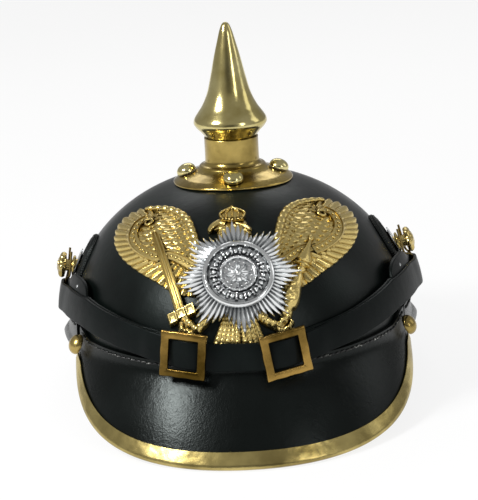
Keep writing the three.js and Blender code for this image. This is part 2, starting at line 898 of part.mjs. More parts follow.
// The two sides of the strap. A buckle is a plain square brass frame, tilted with the strap; its turn
// and tilt are in degrees. postZ is the height of the post on that side, and lean how far it tips up.
const buckles = [
  { name: "left", side: 1, turn: 10.9, tilt: 8, postZ: 78.5, lean: 15 },
  { name: "right", side: -1, turn: -15.1, tilt: -4, postZ: 75, lean: 9 },
];

function rectangle(width, height, Kind) {
  const path = new Kind();
  path.moveTo(-width / 2, -height / 2);
  path.lineTo(width / 2, -height / 2);
  path.lineTo(width / 2, height / 2);
  path.lineTo(-width / 2, height / 2);
  path.closePath();
  return path;
}

function buckleSolid() {
  const frame = rectangle(buckle.width, buckle.height, THREE.Shape);
  frame.holes.push(rectangle(buckle.window, buckle.windowHeight, THREE.Path));
  return new THREE.ExtrudeGeometry(frame, { depth: buckle.thick, bevelEnabled: false });
}

function placeBuckle(mesh, { turn, tilt }) {
  const point = strapPoint(turn, 0, buckle.seat);
  const right = strapPoint(turn + 1, 0, buckle.seat).setZ(point.z).sub(point).normalize();
  const up = strapPoint(turn, 1, buckle.seat).sub(point).normalize();
  const out = right.clone().cross(up).normalize();
  mesh.position.copy(point);
  mesh.quaternion.setFromRotationMatrix(new THREE.Matrix4().makeBasis(right, up, out));
  mesh.rotateZ(tilt * degree);
}

// Middle strip: one layer from buckle to buckle. It swells out through each window, and its ends
// lie between the two layers of the side strips.
const windowSwell = [
  { from: 0, out: 8.5 },
  { from: 2.6, out: 8 },
  { from: 4, out: 6.9 },
  { from: 5.4, out: 5.9 },
  { from: 6.2, out: 5.5 },
];
const tuck = 9; // degrees from a buckle's middle to the hidden end of the middle strip
const middleSteps = 26;

function middleOut(turn) {
  const near = turn > (buckles[0].turn + buckles[1].turn) / 2 ? buckles[0] : buckles[1];
  const from = Math.abs(turn - near.turn);
  const settle = (turn - near.turn) * near.side > 0 ? 0 : smooth(6, 12, from);
  return THREE.MathUtils.lerp(along(windowSwell, "from", Math.min(from, 6.2), "out"), 3.9, settle);
}

function middlePoint(i, j, face) {
  const turn = THREE.MathUtils.lerp(buckles[1].turn - tuck, buckles[0].turn + tuck, i / middleSteps);
  return strapPoint(turn, strap.width * (j - 0.5), middleOut(turn) + (face * strap.thick) / 2);
}

add(
  "strap_middle",
  between(
    (i, j) => middlePoint(i, j, 1),
    (i, j) => middlePoint(i, j, -1),
    middleSteps,
    1,
  ),
  "leather",
);

// Side strips: leather doubled round the strap pin, from a buckle's outer bar to the fold.
const sideSteps = 14;
const foldSteps = 4;

// Half the distance between the middles of the two layers. They part for the middle strip's end and
// for the pin, and lie together between.
function layerSpread(turn, start) {
  const closed = (strap.thick + gap) / 2;
  const open = Math.max(1 - smooth(start + 3.5, start + 8, turn), smooth(74, 82, turn));
  return THREE.MathUtils.lerp(closed, strap.fold, open);
}

// Walks the outer layer to the fold, round it, and back along the inner layer.
function foldedPoint({ side, turn }, i, j, face) {
  const start = Math.abs(turn) + 6.1;
  const across = strap.width * (j - 0.5);
  const half = (face * strap.thick) / 2;
  if (i > sideSteps && i < sideSteps + foldSteps) {
    const bend = Math.PI * (0.5 - (i - sideSteps) / foldSteps);
    const radius = strap.fold + half;
    const past = (radius * Math.cos(bend)) / (dome.halfWidth + strapOut(strap.foldTurn)) / degree;
    const out = strapOut(strap.foldTurn) + radius * Math.sin(bend);
    return strapPoint(side * (strap.foldTurn + past), across, out);
  }
  const isOuter = i <= sideSteps;
  const walked = isOuter ? i / sideSteps : 1 - (i - sideSteps - foldSteps) / sideSteps;
  const here = THREE.MathUtils.lerp(start, strap.foldTurn, walked);
  const away = layerSpread(here, start) + half;
  return strapPoint(side * here, across, strapOut(here) + (isOuter ? away : -away));
}

// Strap pin: one brass wire bent double. Its two ends stand up in front of and behind the post's
// stem, between the flange and the cap, and it runs down inside the fold of the chin strap.
const pin = {
  wire: 0.6,
  legs: [
    { sideways: -4.9, outward: 6.2, turn: 88 },
    { sideways: 4.9, outward: 7.8, turn: 89.6 },
  ],
  heights: [10.5, 3, -4], // above the post's foot
};

function pinSolid({ side, postZ, lean }) {
  const foot = sidePoint(side, postZ);
  const tilt = lean * degree;
  const beside = ({ sideways, outward }, z) => {
    const reach = (outward - Math.sin(tilt) * (z - foot.z)) / Math.cos(tilt);
    return new THREE.Vector3(foot.x + side * reach, sideways, z);
  };
  const inFold = (turn, across) => strapPoint(side * turn, across, strapOut(strap.foldTurn));
  const line = pin.legs.flatMap((leg, n) => {
    const points = [
      ...pin.heights.map((height) => beside(leg, postZ + height)),
      ...[8.4, 4.2, 0, -4.2, -8.4].map((across) => inFold(leg.turn, across)),
    ];
    return n ? points.reverse() : points;
  });
  line.splice(line.length / 2, 0, inFold((pin.legs[0].turn + pin.legs[1].turn) / 2, -10.2));
  const wire = new THREE.Shape().absarc(0, 0, pin.wire, 0, 2 * Math.PI);
  return new THREE.ExtrudeGeometry(wire, {
    extrudePath: new THREE.CatmullRomCurve3(line),
    steps: 22,
    curveSegments: 2,
  });
}

// ---- Fittings that come in pairs. Left and right are the wearer's ----

// Visor rivet: a tall domed brass head over the end of the visor trim.
const rivetSeat = { fromMiddle: 61, place: 1.06, lift: gap + trim.sheet + gap + 1.7 };

for (const pair of buckles) {
  const { name, side, postZ, lean } = pair;
  add(`cockade_${name}`, cockadeSolid(pair), "leather");
  const holder = add(`post_${name}`, postSolid(), "brass");
  const tilt = lean * degree;
  stand(holder, sidePoint(side, postZ), new THREE.Vector3(side * Math.cos(tilt), 0, Math.sin(tilt)));
  add(`strap_pin_${name}`, pinSolid(pair), "brass");
  add(
    `strap_${name}`,
    between(
      (i, j) => foldedPoint(pair, i, j, 1),
      (i, j) => foldedPoint(pair, i, j, -1),
      2 * sideSteps + foldSteps,
      1,
    ),
    "leather",
  );
  placeBuckle(add(`buckle_${name}`, buckleSolid(), "brass"), pair);
  const rivet = add(`visor_rivet_${name}`, turned(domedHead(5.8, 5), 10), "brass");
  const turn = (frontPeak.twist + side * rivetSeat.fromMiddle) * degree;
  const normal = peakNormal(frontPeak, 0, turn, rivetSeat.place);
  const seat = peakPoint(frontPeak, 0, turn, rivetSeat.place).addScaledVector(normal, rivetSeat.lift);
  stand(rivet, seat, normal);
}

const bounds = new THREE.Box3().setFromObject(helmet);
const middle = bounds.getCenter(new THREE.Vector3());
helmet.position.set(-middle.x, -middle.y, -bounds.min.z);

export default helmet;
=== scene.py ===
from math import acos, atan2, cos, degrees, dist, hypot, pi, radians, sin, sqrt
from types import SimpleNamespace

import bmesh
import bpy
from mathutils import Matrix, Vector


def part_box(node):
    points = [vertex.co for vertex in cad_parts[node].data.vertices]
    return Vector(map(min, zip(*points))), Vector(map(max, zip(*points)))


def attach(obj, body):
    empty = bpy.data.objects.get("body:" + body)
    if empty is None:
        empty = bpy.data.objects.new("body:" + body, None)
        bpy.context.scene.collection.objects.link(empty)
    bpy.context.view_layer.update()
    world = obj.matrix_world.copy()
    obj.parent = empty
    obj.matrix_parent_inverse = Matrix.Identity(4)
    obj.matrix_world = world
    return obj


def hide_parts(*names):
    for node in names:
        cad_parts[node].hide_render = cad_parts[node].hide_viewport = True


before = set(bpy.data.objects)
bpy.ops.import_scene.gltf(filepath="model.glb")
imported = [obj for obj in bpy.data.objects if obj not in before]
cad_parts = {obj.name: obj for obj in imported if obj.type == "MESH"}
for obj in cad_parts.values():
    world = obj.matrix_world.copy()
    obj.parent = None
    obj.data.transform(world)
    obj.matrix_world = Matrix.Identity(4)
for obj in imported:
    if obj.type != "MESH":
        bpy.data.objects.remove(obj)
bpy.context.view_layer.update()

# ---- Skull ----
# The skull is one piece of cowhide, wetted and moulded over a wooden block, then lacquered black
# and polished. It is open below, and a vent hole under the spike lets warm air out.
MM = 0.001
TURN = 2 * pi
UP, BACKWARD = Vector((0, 0, 1)), Vector((0, 1, 0))
SPIKE_TOP = 215.6  # mm above the skull's own zero, from which every height below is counted
spike_low, spike_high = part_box("spike")
axis = (spike_low + spike_high) / 2
axis.z = spike_high.z - SPIKE_TOP * MM

DOME_SIDE, DOME_FRONT, DOME_BACK, DOME_RISE, DOME_BASE = 99.3, 113.0, 118.0, 81.0, 47.0
SKULL_THICK, VENT_RADIUS, FLARE = 2.4, 12.0, 2.0
SEAM_FRONT, SEAM_SIDE, SEAM_BACK, RIM_BELOW_SEAM = 45.0, 45.0, 27.0, 7.0
SKULL_COLUMNS, SKULL_ROWS, BAND_ROWS = 160, 56, 8


def round_axis(radius, angle, height):
    """A point round the helmet's axis; 0 is the front and angles grow towards +X."""
    return Vector((radius * sin(angle), -radius * cos(angle), height))


def seam_height(angle):
    """Height of the stitch line round the skull."""
    end = SEAM_FRONT if cos(angle) > 0 else SEAM_BACK
    return SEAM_SIDE + (end - SEAM_SIDE) * (1 - abs(sin(angle)) ** 6)


def wall(angle, z, lift):
    """A point of the skull's outside, pushed out by lift."""
    depth = DOME_FRONT if cos(angle) > 0 else DOME_BACK
    up = max(0.0, z - DOME_BASE) / (DOME_RISE + lift)
    narrow = sqrt(max(0.0, 1 - up * up))
    flare = FLARE * (max(0.0, DOME_BASE - z) / DOME_BASE) ** 2
    across_x = sin(angle) / ((DOME_SIDE + lift) * narrow + flare)
    across_y = cos(angle) / ((depth + lift) * narrow + flare)
    return round_axis(1 / hypot(across_x, across_y), angle, z)


def onto_dome(point, direction, lift):
    """Where the line through a point, along a direction, leaves the dome pushed out by lift."""
    depth = DOME_BACK if point.y > 0 else DOME_FRONT
    axes = (DOME_SIDE + lift, depth + lift, DOME_RISE + lift)
    p = Vector((point.x / axes[0], point.y / axes[1], (point.z - DOME_BASE) / axes[2]))
    d = Vector(direction[k] / axes[k] for k in range(3))
    half = p.dot(d) / d.length_squared
    step = -half + sqrt(max(0.0, half * half - (p.length_squared - 1) / d.length_squared))
    return point + direction * step


def linear(hex_colour):
    """An sRGB hex colour as the linear colour that a shader takes."""
    parts = [int(hex_colour[k : k + 2], 16) / 255 for k in (1, 3, 5)]
    return tuple(c / 12.92 if c <= 0.04045 else ((c + 0.055) / 1.055) ** 2.4 for c in parts) + (1.0,)


def new_material(name):
    """A material, its tree of nodes, and its one Principled shader."""
    material = bpy.data.materials.new(name)
    material.use_nodes = True
    return material, material.node_tree, material.node_tree.nodes["Principled BSDF"]


def connect(tree, node, links):
    """Sets a node's inputs, by name or number, to values or to other nodes' outputs."""
    for key, value in links.items():
        if isinstance(value, bpy.types.NodeSocket):
            tree.links.new(value, node.inputs[key])
        else:
            node.inputs[key].default_value = value


def add_node(tree, kind, links, output=0, stops=(), **settings):
    """Adds a shader node and returns one of its outputs. Stops are a ramp's (place, hex colour)."""
    node = tree.nodes.new("ShaderNode" + kind)
    for key, value in settings.items():
        setattr(node, key, value)
    if stops:
        elements = node.color_ramp.elements
        while len(elements) < len(stops):
            elements.new(0.5)
        for element, (place, colour) in zip(elements, stops):
            element.position, element.color = place, linear(colour)
    connect(tree, node, links)
    return node.outputs[output]


def leather(name, dark, light, roughness, grain_mm, pit_mm, shine, dents_mm=6.0, dent_depth=0.0):
    """Black leather: uneven dye, pits of one grain size, wider dents, and a shine that wears off."""
    material, tree, shader = new_material(name)
    where = add_node(tree, "TexCoord", {}, "Object")
    dye = add_node(tree, "TexNoise", {"Vector": where, "Scale": 30.0, "Detail": 3.0})
    pits = add_node(tree, "TexVoronoi", {"Vector": where, "Scale": 1 / (grain_mm * MM)})
    fibres = add_node(tree, "TexNoise", {"Vector": where, "Scale": 0.5 / (grain_mm * MM), "Detail": 4.0})
    grain = add_node(tree, "Math", {0: pits, 1: fibres}, operation="MULTIPLY")
    dents = add_node(tree, "TexNoise", {"Vector": where, "Scale": 1 / (dents_mm * MM), "Detail": 3.0})
    bump = add_node(tree, "Bump", {"Height": grain, "Distance": pit_mm * MM})
    relief = add_node(tree, "Bump", {"Height": dents, "Distance": dent_depth * MM, "Normal": bump})
    worn = {"Value": dye, "To Min": roughness - 0.1, "To Max": roughness + 0.12}
    sockets = {
        "Base Color": add_node(tree, "ValToRGB", {0: dye}, stops=[(0.35, dark), (0.7, light)]),
        "Roughness": add_node(tree, "MapRange", worn),
        "Normal": relief,
        "Specular IOR Level": shine,
        "Specular Tint": linear("#e2edea"),
    }
    connect(tree, shader, sockets)
    return material


# Lacquered cowhide, polished by hand: near-black with a green cast, a satin shine and fine pits.
satin_leather = leather("satin_lacquered_cowhide", "#040706", "#0c1311", 0.34, 0.8, 0.06, 0.2, 5.0, 0.1)
# The unfinished flesh side shows inside the skull: the same black dye, dull and fibrous.
flesh_side = leather("dyed_flesh_side", "#14120f", "#221d17", 0.75, 0.8, 0.2, 0.2)


def add_object(name, data):
    """Puts a mesh, a light or a camera into the scene."""
    thing = bpy.data.objects.new(name, data)
    bpy.context.scene.collection.objects.link(thing)
    return thing


def solid(name, form, material, slot, *nodes, smooth=40, edge_mm=0, edge_steps=2, edge_angle=40):
    """Makes a mesh from a form in mm, shades it, rounds its sharp edges, and fits it to the frame."""
    mesh = bpy.data.meshes.new(name)
    mesh.from_pydata([p * MM + axis for p in form[0]], [], form[1])
    piece = add_object(name, mesh)
    mend = bmesh.new()
    mend.from_mesh(mesh)
    bmesh.ops.remove_doubles(mend, verts=mend.verts, dist=0.002 * MM)
    bmesh.ops.recalc_face_normals(mend, faces=mend.faces)
    mend.to_mesh(mesh)
    mend.free()
    mesh.shade_smooth()
    mesh.set_sharp_from_angle(angle=radians(smooth))
    mesh.materials.append(material)
    if edge_mm:
        bevel = piece.modifiers.new("round_edges", "BEVEL")
        bevel.width, bevel.segments = edge_mm * MM, edge_steps
        bevel.limit_method, bevel.angle_limit = "ANGLE", radians(edge_angle)
    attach(piece, "root")
    if nodes:
        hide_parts(*nodes)
    return piece


def rings(points, columns, ends="open"):
    """A form from rings of points, laid one after another; its ends are open, joined or capped."""
    rows, faces = len(points) // columns, []
    for k in range(rows if ends == "joined" else rows - 1):
        near, far = k * columns, (k + 1) % rows * columns
        for i in range(columns):
            j = (i + 1) % columns
            faces.append([near + i, near + j, far + j, far + i])
    if ends == "capped":
        faces += [list(reversed(range(columns))), list(range(len(points) - columns, len(points)))]
    return points, faces


def sheet(spot, columns, rows, ends="open"):
    """A closed sheet; spot(i, j, is_face) is a point of its face or its back."""
    section = [(j, True) for j in range(rows + 1)] + [(j, False) for j in reversed(range(rows + 1))]
    lines = range(columns if ends == "joined" else columns + 1)
    points, faces = rings([spot(i, *place) for i in lines for place in section], len(section), ends)
    if ends == "open":
        for near in (0, len(points) - len(section)):
            far = near + len(section) - 1
            faces += [[near + j, near + j + 1, far - j - 1, far - j] for j in range(rows)]
    return points, faces


def skull_point(i, j, is_face):
    """Rows run up a straight band from the rim, and then over the dome to the vent hole."""
    angle, lift = i / SKULL_COLUMNS * TURN, 0 if is_face else -SKULL_THICK
    rim = seam_height(angle) - RIM_BELOW_SEAM
    if j <= BAND_ROWS:
        return wall(angle, rim + (DOME_BASE - rim) * j / BAND_ROWS, lift)
    tilt = acos(VENT_RADIUS / DOME_SIDE) * (j - BAND_ROWS) / (SKULL_ROWS - BAND_ROWS)
    return wall(angle, DOME_BASE + (DOME_RISE + lift) * sin(tilt), lift)


form = sheet(skull_point, SKULL_COLUMNS, SKULL_ROWS, "joined")
skull = solid("skull_leather", form, satin_leather, "lacquered_leather", "skull", edge_mm=0.6)
skull.data.materials.append(flesh_side)
for polygon in skull.data.polygons:
    outward = polygon.center - Vector((axis.x, axis.y, axis.z + DOME_BASE * MM))
    if polygon.normal.dot(outward) < 0:
        polygon.material_index = 1

# ---- Peaks ----
# The front visor and the neck guard are cut from the same cowhide, moulded to their flare, skived
# at the lap and sewn over the skull's rim. The visor's edge is held in a brass channel.
GAP = 0.3
LAP_THICK, LAP_ABOVE, LAP_BELOW, LAP_FOOT = 2.2, 4.0, 3.0, 0.6
LAP_GROWTH, LAP_GROW_FROM, LAP_GROW_TO = 5.0, 0.8, 0.9  # the lap grows taller towards the sides
BEND_FROM, BEND_TO = 0.86, 1.45

# Turns and spans in degrees from the peak's middle, reaches and heights in mm.
front_peak = SimpleNamespace(
    node="front_visor", facing=0.0, end=62.8, sewn=61.5, columns=150, twist=1.2, bulge=1.5,
    reach=27.4, reach_span=65, reach_power=2.4, reach_fall=1.15,
    rest_z=2.4, end_z=37, flat_to=5, rise_span=64, rise_power=3,
)
neck_peak = SimpleNamespace(
    node="neck_guard", facing=pi, end=115, sewn=113.5, columns=200, twist=0, bulge=2.6,
    reach=28, reach_span=118, reach_power=1.5, reach_fall=1.8,
    rest_z=-0.14, end_z=36, flat_to=12, rise_span=90, rise_power=1.7,
)


def smooth_step(low, high, value):
    t = min(max((value - low) / (high - low), 0), 1)
    return t * t * (3 - 2 * t)


def lap_height(angle):
    taller = LAP_GROWTH * smooth_step(LAP_GROW_FROM, LAP_GROW_TO, abs(sin(angle)))
    return LAP_ABOVE + LAP_BELOW + taller


def peak_point(peak, turn, place):
    """A point on a peak's outside: place 0 is the free edge, 1 the bend and 2 the top of the lap."""
    angle = peak.facing + turn
    bend_z, lift = seam_height(angle) - LAP_BELOW, GAP + LAP_THICK
    if place > 1:
        return wall(angle, bend_z + (place - 1) * lap_height(angle), lift)
    from_middle = abs(degrees(turn) - peak.twist)
    fade = (1 - min(from_middle / peak.reach_span, 1) ** peak.reach_power) ** peak.reach_fall
    rise = min(max(0, from_middle - peak.flat_to) / (peak.rise_span - peak.flat_to), 1)
    bend, outward = wall(angle, bend_z, lift), round_axis(1, angle, 0)
    edge = bend + outward * (LAP_FOOT + peak.reach * fade)
    edge.z = peak.rest_z + (peak.end_z - peak.rest_z) * rise**peak.rise_power
    return edge.lerp(bend, place) + outward * (peak.bulge * 4 * place * (1 - place) * sqrt(fade))


def peak_normal(peak, turn, place):
    at = min(place, 0.99)
    low, high = peak_point(peak, turn, max(0, at - 0.05)), peak_point(peak, turn, min(1, at + 0.05))
    left, right = peak_point(peak, turn - 0.01, at), peak_point(peak, turn + 0.01, at)
    return (right - left).cross(high - low).normalized()


def peak_back(peak, turn, place):
    """The inner face of the leather, upright on the lap and level along the free edge."""
    outer, normal = peak_point(peak, turn, place), peak_normal(peak, turn, place)
    if 0 < place < 1:
        return outer - normal * LAP_THICK
    level = Vector((normal.x, normal.y, 0))
    lean = level.length if place == 0 else 1
    return outer - level.normalized() * (LAP_THICK / lean)


def eased(point, peak, turn, place):
    """The leather turns through its bend in a soft curve."""
    if not BEND_FROM < place < BEND_TO:
        return point(peak, turn, place)
    t = (place - BEND_FROM) / (BEND_TO - BEND_FROM)
    low, bend, high = (point(peak, turn, at) for at in (BEND_FROM, 1, BEND_TO))
    return low * (1 - t) ** 2 + bend * 2 * t * (1 - t) + high * t * t


# The peaks take more lacquer: a wet gloss, broken up by pits and shallow dents.
lacquered_leather = leather("lacquered_cowhide", "#030504", "#070a09", 0.27, 0.8, 0.09, 0.2, 3.0, 0.09)
PEAK_ROWS = [0, 0.04, 0.12, 0.22, 0.34, 0.46, 0.58, 0.7, 0.8, 0.86]  # close together round the bend
PEAK_ROWS += [0.93, 1, 1.08, 1.16, 1.24, 1.34, 1.45, 1.6, 1.8, 2]
for peak in (front_peak, neck_peak):

    def peak_spot(i, j, is_face):
        turn = radians(peak.twist - peak.end + 2 * peak.end * i / peak.columns)
        return eased(peak_point if is_face else peak_back, peak, turn, PEAK_ROWS[j])

    form = sheet(peak_spot, peak.columns, len(PEAK_ROWS) - 1)
    name = f"{peak.node}_leather"
    solid(name, form, lacquered_leather, "lacquered_leather", peak.node, edge_mm=0.5)

# ---- Visor trim ----
# A strip of thin brass, folded over the visor's edge into a channel, wide on top and narrow below,
# rubbed down tight and polished along its length.
TRIM_FACE, TRIM_SHARE, TRIM_SHEET = 8.0, 0.54, 0.8
UNDER = -LAP_THICK - GAP
CHANNEL = [
    # (measured in plain mm?, outside, inside), each side as (in from the edge, out from the leather)
    (False, (1.0, GAP + TRIM_SHEET), (1.0, GAP)),
    (False, (0.55, GAP + TRIM_SHEET + 0.1), (0.55, GAP)),
    (False, (0.12, 1.5), (0.12, GAP)),
    (True, (-0.9, 1.45), (-0.2, GAP)),
    (True, (-1.6, 0.9), (-0.5, 0.0)),
    (True, (-1.9, -0.3), (-0.6, -0.6)),
    (True, (-1.9, -1.6), (-0.6, -1.2)),
    (True, (-1.6, -2.7), (-0.6, -2.0)),
    (True, (-1.0, -3.4), (-0.5, UNDER)),
    (False, (0.3, UNDER - TRIM_SHEET), (0.3, UNDER)),
    (False, (0.72, UNDER - TRIM_SHEET), (0.72, UNDER)),
]


def metal(name, dark, light, roughness, scratch_mm, scratch_depth, dents_mm=0.0, dent_depth=0.0):
    """Bare metal: tarnish clouds between two colours, fine rubbing marks, and shallow dents."""
    material, tree, shader = new_material(name)
    where = add_node(tree, "TexCoord", {}, "Object")
    tarnish = add_node(tree, "TexNoise", {"Vector": where, "Scale": 45.0, "Detail": 5.0})
    rub = add_node(tree, "TexNoise", {"Vector": where, "Scale": 1 / (scratch_mm * MM), "Detail": 2.0})
    bump = add_node(tree, "Bump", {"Height": rub, "Distance": scratch_depth * MM})
    if dents_mm:
        dents = add_node(tree, "TexNoise", {"Vector": where, "Scale": 1 / (dents_mm * MM)})
        bump = add_node(tree, "Bump", {"Height": dents, "Distance": dent_depth * MM, "Normal": bump})
    dulled = {"Value": tarnish, "To Min": roughness - 0.03, "To Max": roughness + 0.06}
    sockets = {
        "Base Color": add_node(tree, "ValToRGB", {0: tarnish}, stops=[(0.35, dark), (0.65, light)]),
        "Roughness": add_node(tree, "MapRange", dulled),
        "Metallic": 1.0,
        "Normal": bump,
    }
    connect(tree, shader, sockets)
    return material


def channel_point(i, j, is_face):
    is_plain, outside, inside = CHANNEL[j]
    inward, lift = outside if is_face else inside
    turn = radians(front_peak.twist + front_peak.end * (2 * i / front_peak.columns - 1))
    edge, normal = peak_point(front_peak, turn, 0), peak_normal(front_peak, turn, 0)
    if is_plain:
        slope = (peak_point(front_peak, turn, 0.1) - edge).normalized()
        return edge + slope * inward + normal * lift
    length = (edge - peak_point(front_peak, turn, 1)).length
    face = min(TRIM_FACE, length * TRIM_SHARE)
    return peak_point(front_peak, turn, inward * face / length) + normal * lift


# Sheet brass, rubbed bright: pale gold with slow dents where it was folded.
rubbed_brass = metal("rubbed_sheet_brass", "#8a7a48", "#c4b273", 0.24, 0.5, 0.02, 12.0, 0.5)
form, name = sheet(channel_point, front_peak.columns, len(CHANNEL) - 1), "front_visor_trim"
solid(f"{name}_brass", form, rubbed_brass, "polished_brass", name, edge_mm=0.2)

# ---- Visor rivets ----
# A tall domed rivet goes through each end of the trim, the lap and the skull, and is clenched inside.
RIVET_FROM_MIDDLE, RIVET_PLACE, RIVET_LIFT, RIVET_RADIUS, RIVET_RISE = 61.0, 1.06, 3.1, 5.8, 5.0


def turned(profile, segments, spot=round_axis, ends="open"):
    """A form turned from (radius, height) rows."""
    turns = [i / segments * TURN for i in range(segments)]
    points = [spot(radius, turn, height) for radius, height in profile for turn in turns]
    return rings(points, segments, ends)


def head_on(name, profile, point, direction, material, slot, *nodes, segments=40):
    """A turned head, standing at a point of the helmet along an outward direction."""
    up = direction.normalized()
    side = up.cross(UP if abs(up.z) < 0.9 else BACKWARD).normalized()
    other = up.cross(side)

    def spot(radius, angle, height):
        p = round_axis(radius, angle, height)
        return point + side * p.x + other * p.y + up * p.z

    solid(name, turned(profile, segments, spot), material, slot, *nodes)


def domed(radius, height, steps=10, seat=0.6):
    """Profile of a domed head with a short straight edge."""
    rows = [(0.001, 0), (radius, 0), (radius, seat)]
    for k in range(1, steps):
        turn = k / steps * pi / 2
        rows.append((radius * cos(turn), seat + (height - seat) * sin(turn)))
    return rows + [(0.001, height)]


# Rivet brass: worn to a soft shine, with brown tarnish left round its foot.
worn_brass = metal("worn_rivet_brass", "#7d6b3a", "#bda666", 0.26, 0.6, 0.02, 3.0, 0.1)
for name, side in (("visor_rivet_left", 1), ("visor_rivet_right", -1)):
    turn = radians(front_peak.twist + side * RIVET_FROM_MIDDLE)
    normal = peak_normal(front_peak, turn, RIVET_PLACE)
    seat = peak_point(front_peak, turn, RIVET_PLACE) + normal * RIVET_LIFT
    head = domed(RIVET_RADIUS, RIVET_RISE)
    head_on(f"{name}_brass", head, seat, normal, worn_brass, "tarnished_brass", name)

# ---- Stitches ----
# The peaks are sewn on by hand with waxed black thread, in one row below the top of each lap.
# Pale flecks painted on the thread stand in for glints of light on its wax.
STITCH_PITCH, STITCH_LENGTH, STITCH_RADIUS, STITCH_DOWN = 3.6, 3.0, 0.5, 2.1
STITCH_SPANS, STITCH_RISE, STITCH_SUNK = 6, 0.55, 0.12
THREAD_AND_GLINT_STOPS = [(0.55, "#0b0c0c"), (0.64, "#4c4d49"), (0.7, "#a9aaa4")]
waxed_thread, tree, shader = new_material("waxed_linen_thread")
thread_place = add_node(tree, "TexCoord", {}, "Object")
# Random pale flecks, painted into the colour, stand in for glints on the black thread.
glint_flecks = add_node(tree, "TexNoise", {"Vector": thread_place, "Scale": 420.0, "Detail": 3.0})
plies = add_node(tree, "TexNoise", {"Vector": thread_place, "Scale": 2200.0})
sockets = {
    "Base Color": add_node(tree, "ValToRGB", {0: glint_flecks}, stops=THREAD_AND_GLINT_STOPS),
    "Roughness": 0.5,
    "Normal": add_node(tree, "Bump", {"Height": plies, "Distance": 0.12 * MM}),
}
connect(tree, shader, sockets)


def tube(path, radius, sides=8):
    """A round bar along a path."""
    points, across = [], None
    for k, here in enumerate(path):
        along = (path[min(k + 1, len(path) - 1)] - path[max(k - 1, 0)]).normalized()
        across = across or along.orthogonal()
        across = (across - along * across.dot(along)).normalized()
        other = along.cross(across)
        for angle in (i / sides * TURN for i in range(sides)):
            points.append(here + across * (radius * cos(angle)) + other * (radius * sin(angle)))
    return rings(points, sides, "capped")


def together(forms):
    """One form from several."""
    points, faces = [], []
    for form_points, form_faces in forms:
        faces.extend([len(points) + n for n in face] for face in form_faces)
        points.extend(form_points)
    return points, faces


# Each stitch is sunk into the leather at its two ends.
for peak in (front_peak, neck_peak):
    girth = (DOME_SIDE + DOME_FRONT) / 2 + LAP_THICK
    count = int(radians(2 * peak.sewn) * girth / STITCH_PITCH)
    forms = []
    for n in range(count):
        turn = radians(peak.twist - peak.sewn + 2 * peak.sewn * (n + 0.5) / count)
        place = 2 - (STITCH_DOWN + 0.15 * sin(2.3 * n)) / lap_height(peak.facing + turn)
        path = []
        for share in (k / STITCH_SPANS for k in range(STITCH_SPANS + 1)):
            here = turn + (share - 0.5) * STITCH_LENGTH / girth
            rise = STITCH_RISE * sin(pi * share) - STITCH_SUNK
            point = peak_point(peak, here, place + 0.05 * (share - 0.5))
            path.append(point + peak_normal(peak, here, place) * rise)
        forms.append(tube(path, STITCH_RADIUS))
    solid(f"{peak.node}_stitches", together(forms), waxed_thread, "lacquered_leather")

# ---- Spike and its base ----
# The base is spun from sheet brass: a skirt that follows the leather, a rolled step and a plain
# tube. The spike is spun as a hollow cone with a rolled lip, and a collar that screws into the tube.
SPIKE_INSIDE = [(0.001, 203), (9, 176), (13.4, 158)]
SPIKE_UNDERSIDE = [(13.4, 149.6), (15, 149.6), (15.7, 150.5), (17.5, 152.8), (20.0, 155.2)]
SPIKE_OUTSIDE = [(20.9, 156.6), (21.4, 158), (20.8, 160.6), (18.4, 164.2), (15.9, 167.9), (12.7, 175)]
SPIKE_OUTSIDE += [(10.1, 185), (7.7, 195.6), (5.2, 205.2), (3.6, 211.0), (2.2, 214.3), (0.9, 215.5)]
SPIKE_OUTSIDE += [(0.001, SPIKE_TOP)]


def smooth_profile(rows, steps):
    """A Catmull-Rom curve through rows of two numbers."""
    curve = []
    for k in range(len(rows) - 1):
        a, b, c, d = (Vector(rows[min(max(n, 0), len(rows) - 1)]) for n in range(k - 1, k + 3))
        for t in (s / steps for s in range(steps)):
            spot = 2 * b + (c - a) * t
            spot += (2 * a - 5 * b + 4 * c - d) * t * t
            spot += (3 * b - a - 3 * c + d) * t**3
            curve.append(tuple(0.5 * spot))
    return curve + [tuple(rows[-1])]


# Spun and buffed brass: a mirror with faint rings from the lathe.
spun_brass = metal("buffed_spun_brass", "#b5a566", "#e0d49a", 0.16, 0.4, 0.01, 7.0, 0.12)
form = turned(SPIKE_INSIDE + SPIKE_UNDERSIDE + smooth_profile(SPIKE_OUTSIDE, 5), 96)
solid("spike_brass", form, spun_brass, "polished_brass", "spike", smooth=30)

BASE_SHEET, BASE_RADIUS, BASE_SEAT, BASE_COLUMNS = 1.2, 35.0, 0.2, 128
TUBE_WALL, STEP_WALL, STEP_RADIUS = 1.4, 0.5, 20
BASE_OUTSIDE = [(31.5, 127.2), (26, 129), (22.6, 130.2), (20.2, 131.6), (19.4, 132.6), (18.6, 133.2)]
BASE_OUTSIDE += [(17.2, 133.6), (16.2, 134.8), (15.8, 137), (15.8, 149.3)]
BASE_ROWS = smooth_profile(BASE_OUTSIDE, 3)


def base_point(i, j, is_face):
    """Row 0 is the skirt's edge, which follows the dome; the others are plain rings."""
    around = round_axis(1, i / BASE_COLUMNS * TURN, 0)
    if j == 0:
        foot = onto_dome(around * BASE_RADIUS, UP, GAP)
        return foot + UP * (BASE_SEAT + (BASE_SHEET if is_face else 0))
    radius, height = BASE_ROWS[j - 1]
    if not is_face:
        radius -= TUBE_WALL if radius < STEP_RADIUS else STEP_WALL
        height -= BASE_SHEET if j < len(BASE_ROWS) else 0
    return around * radius + UP * height


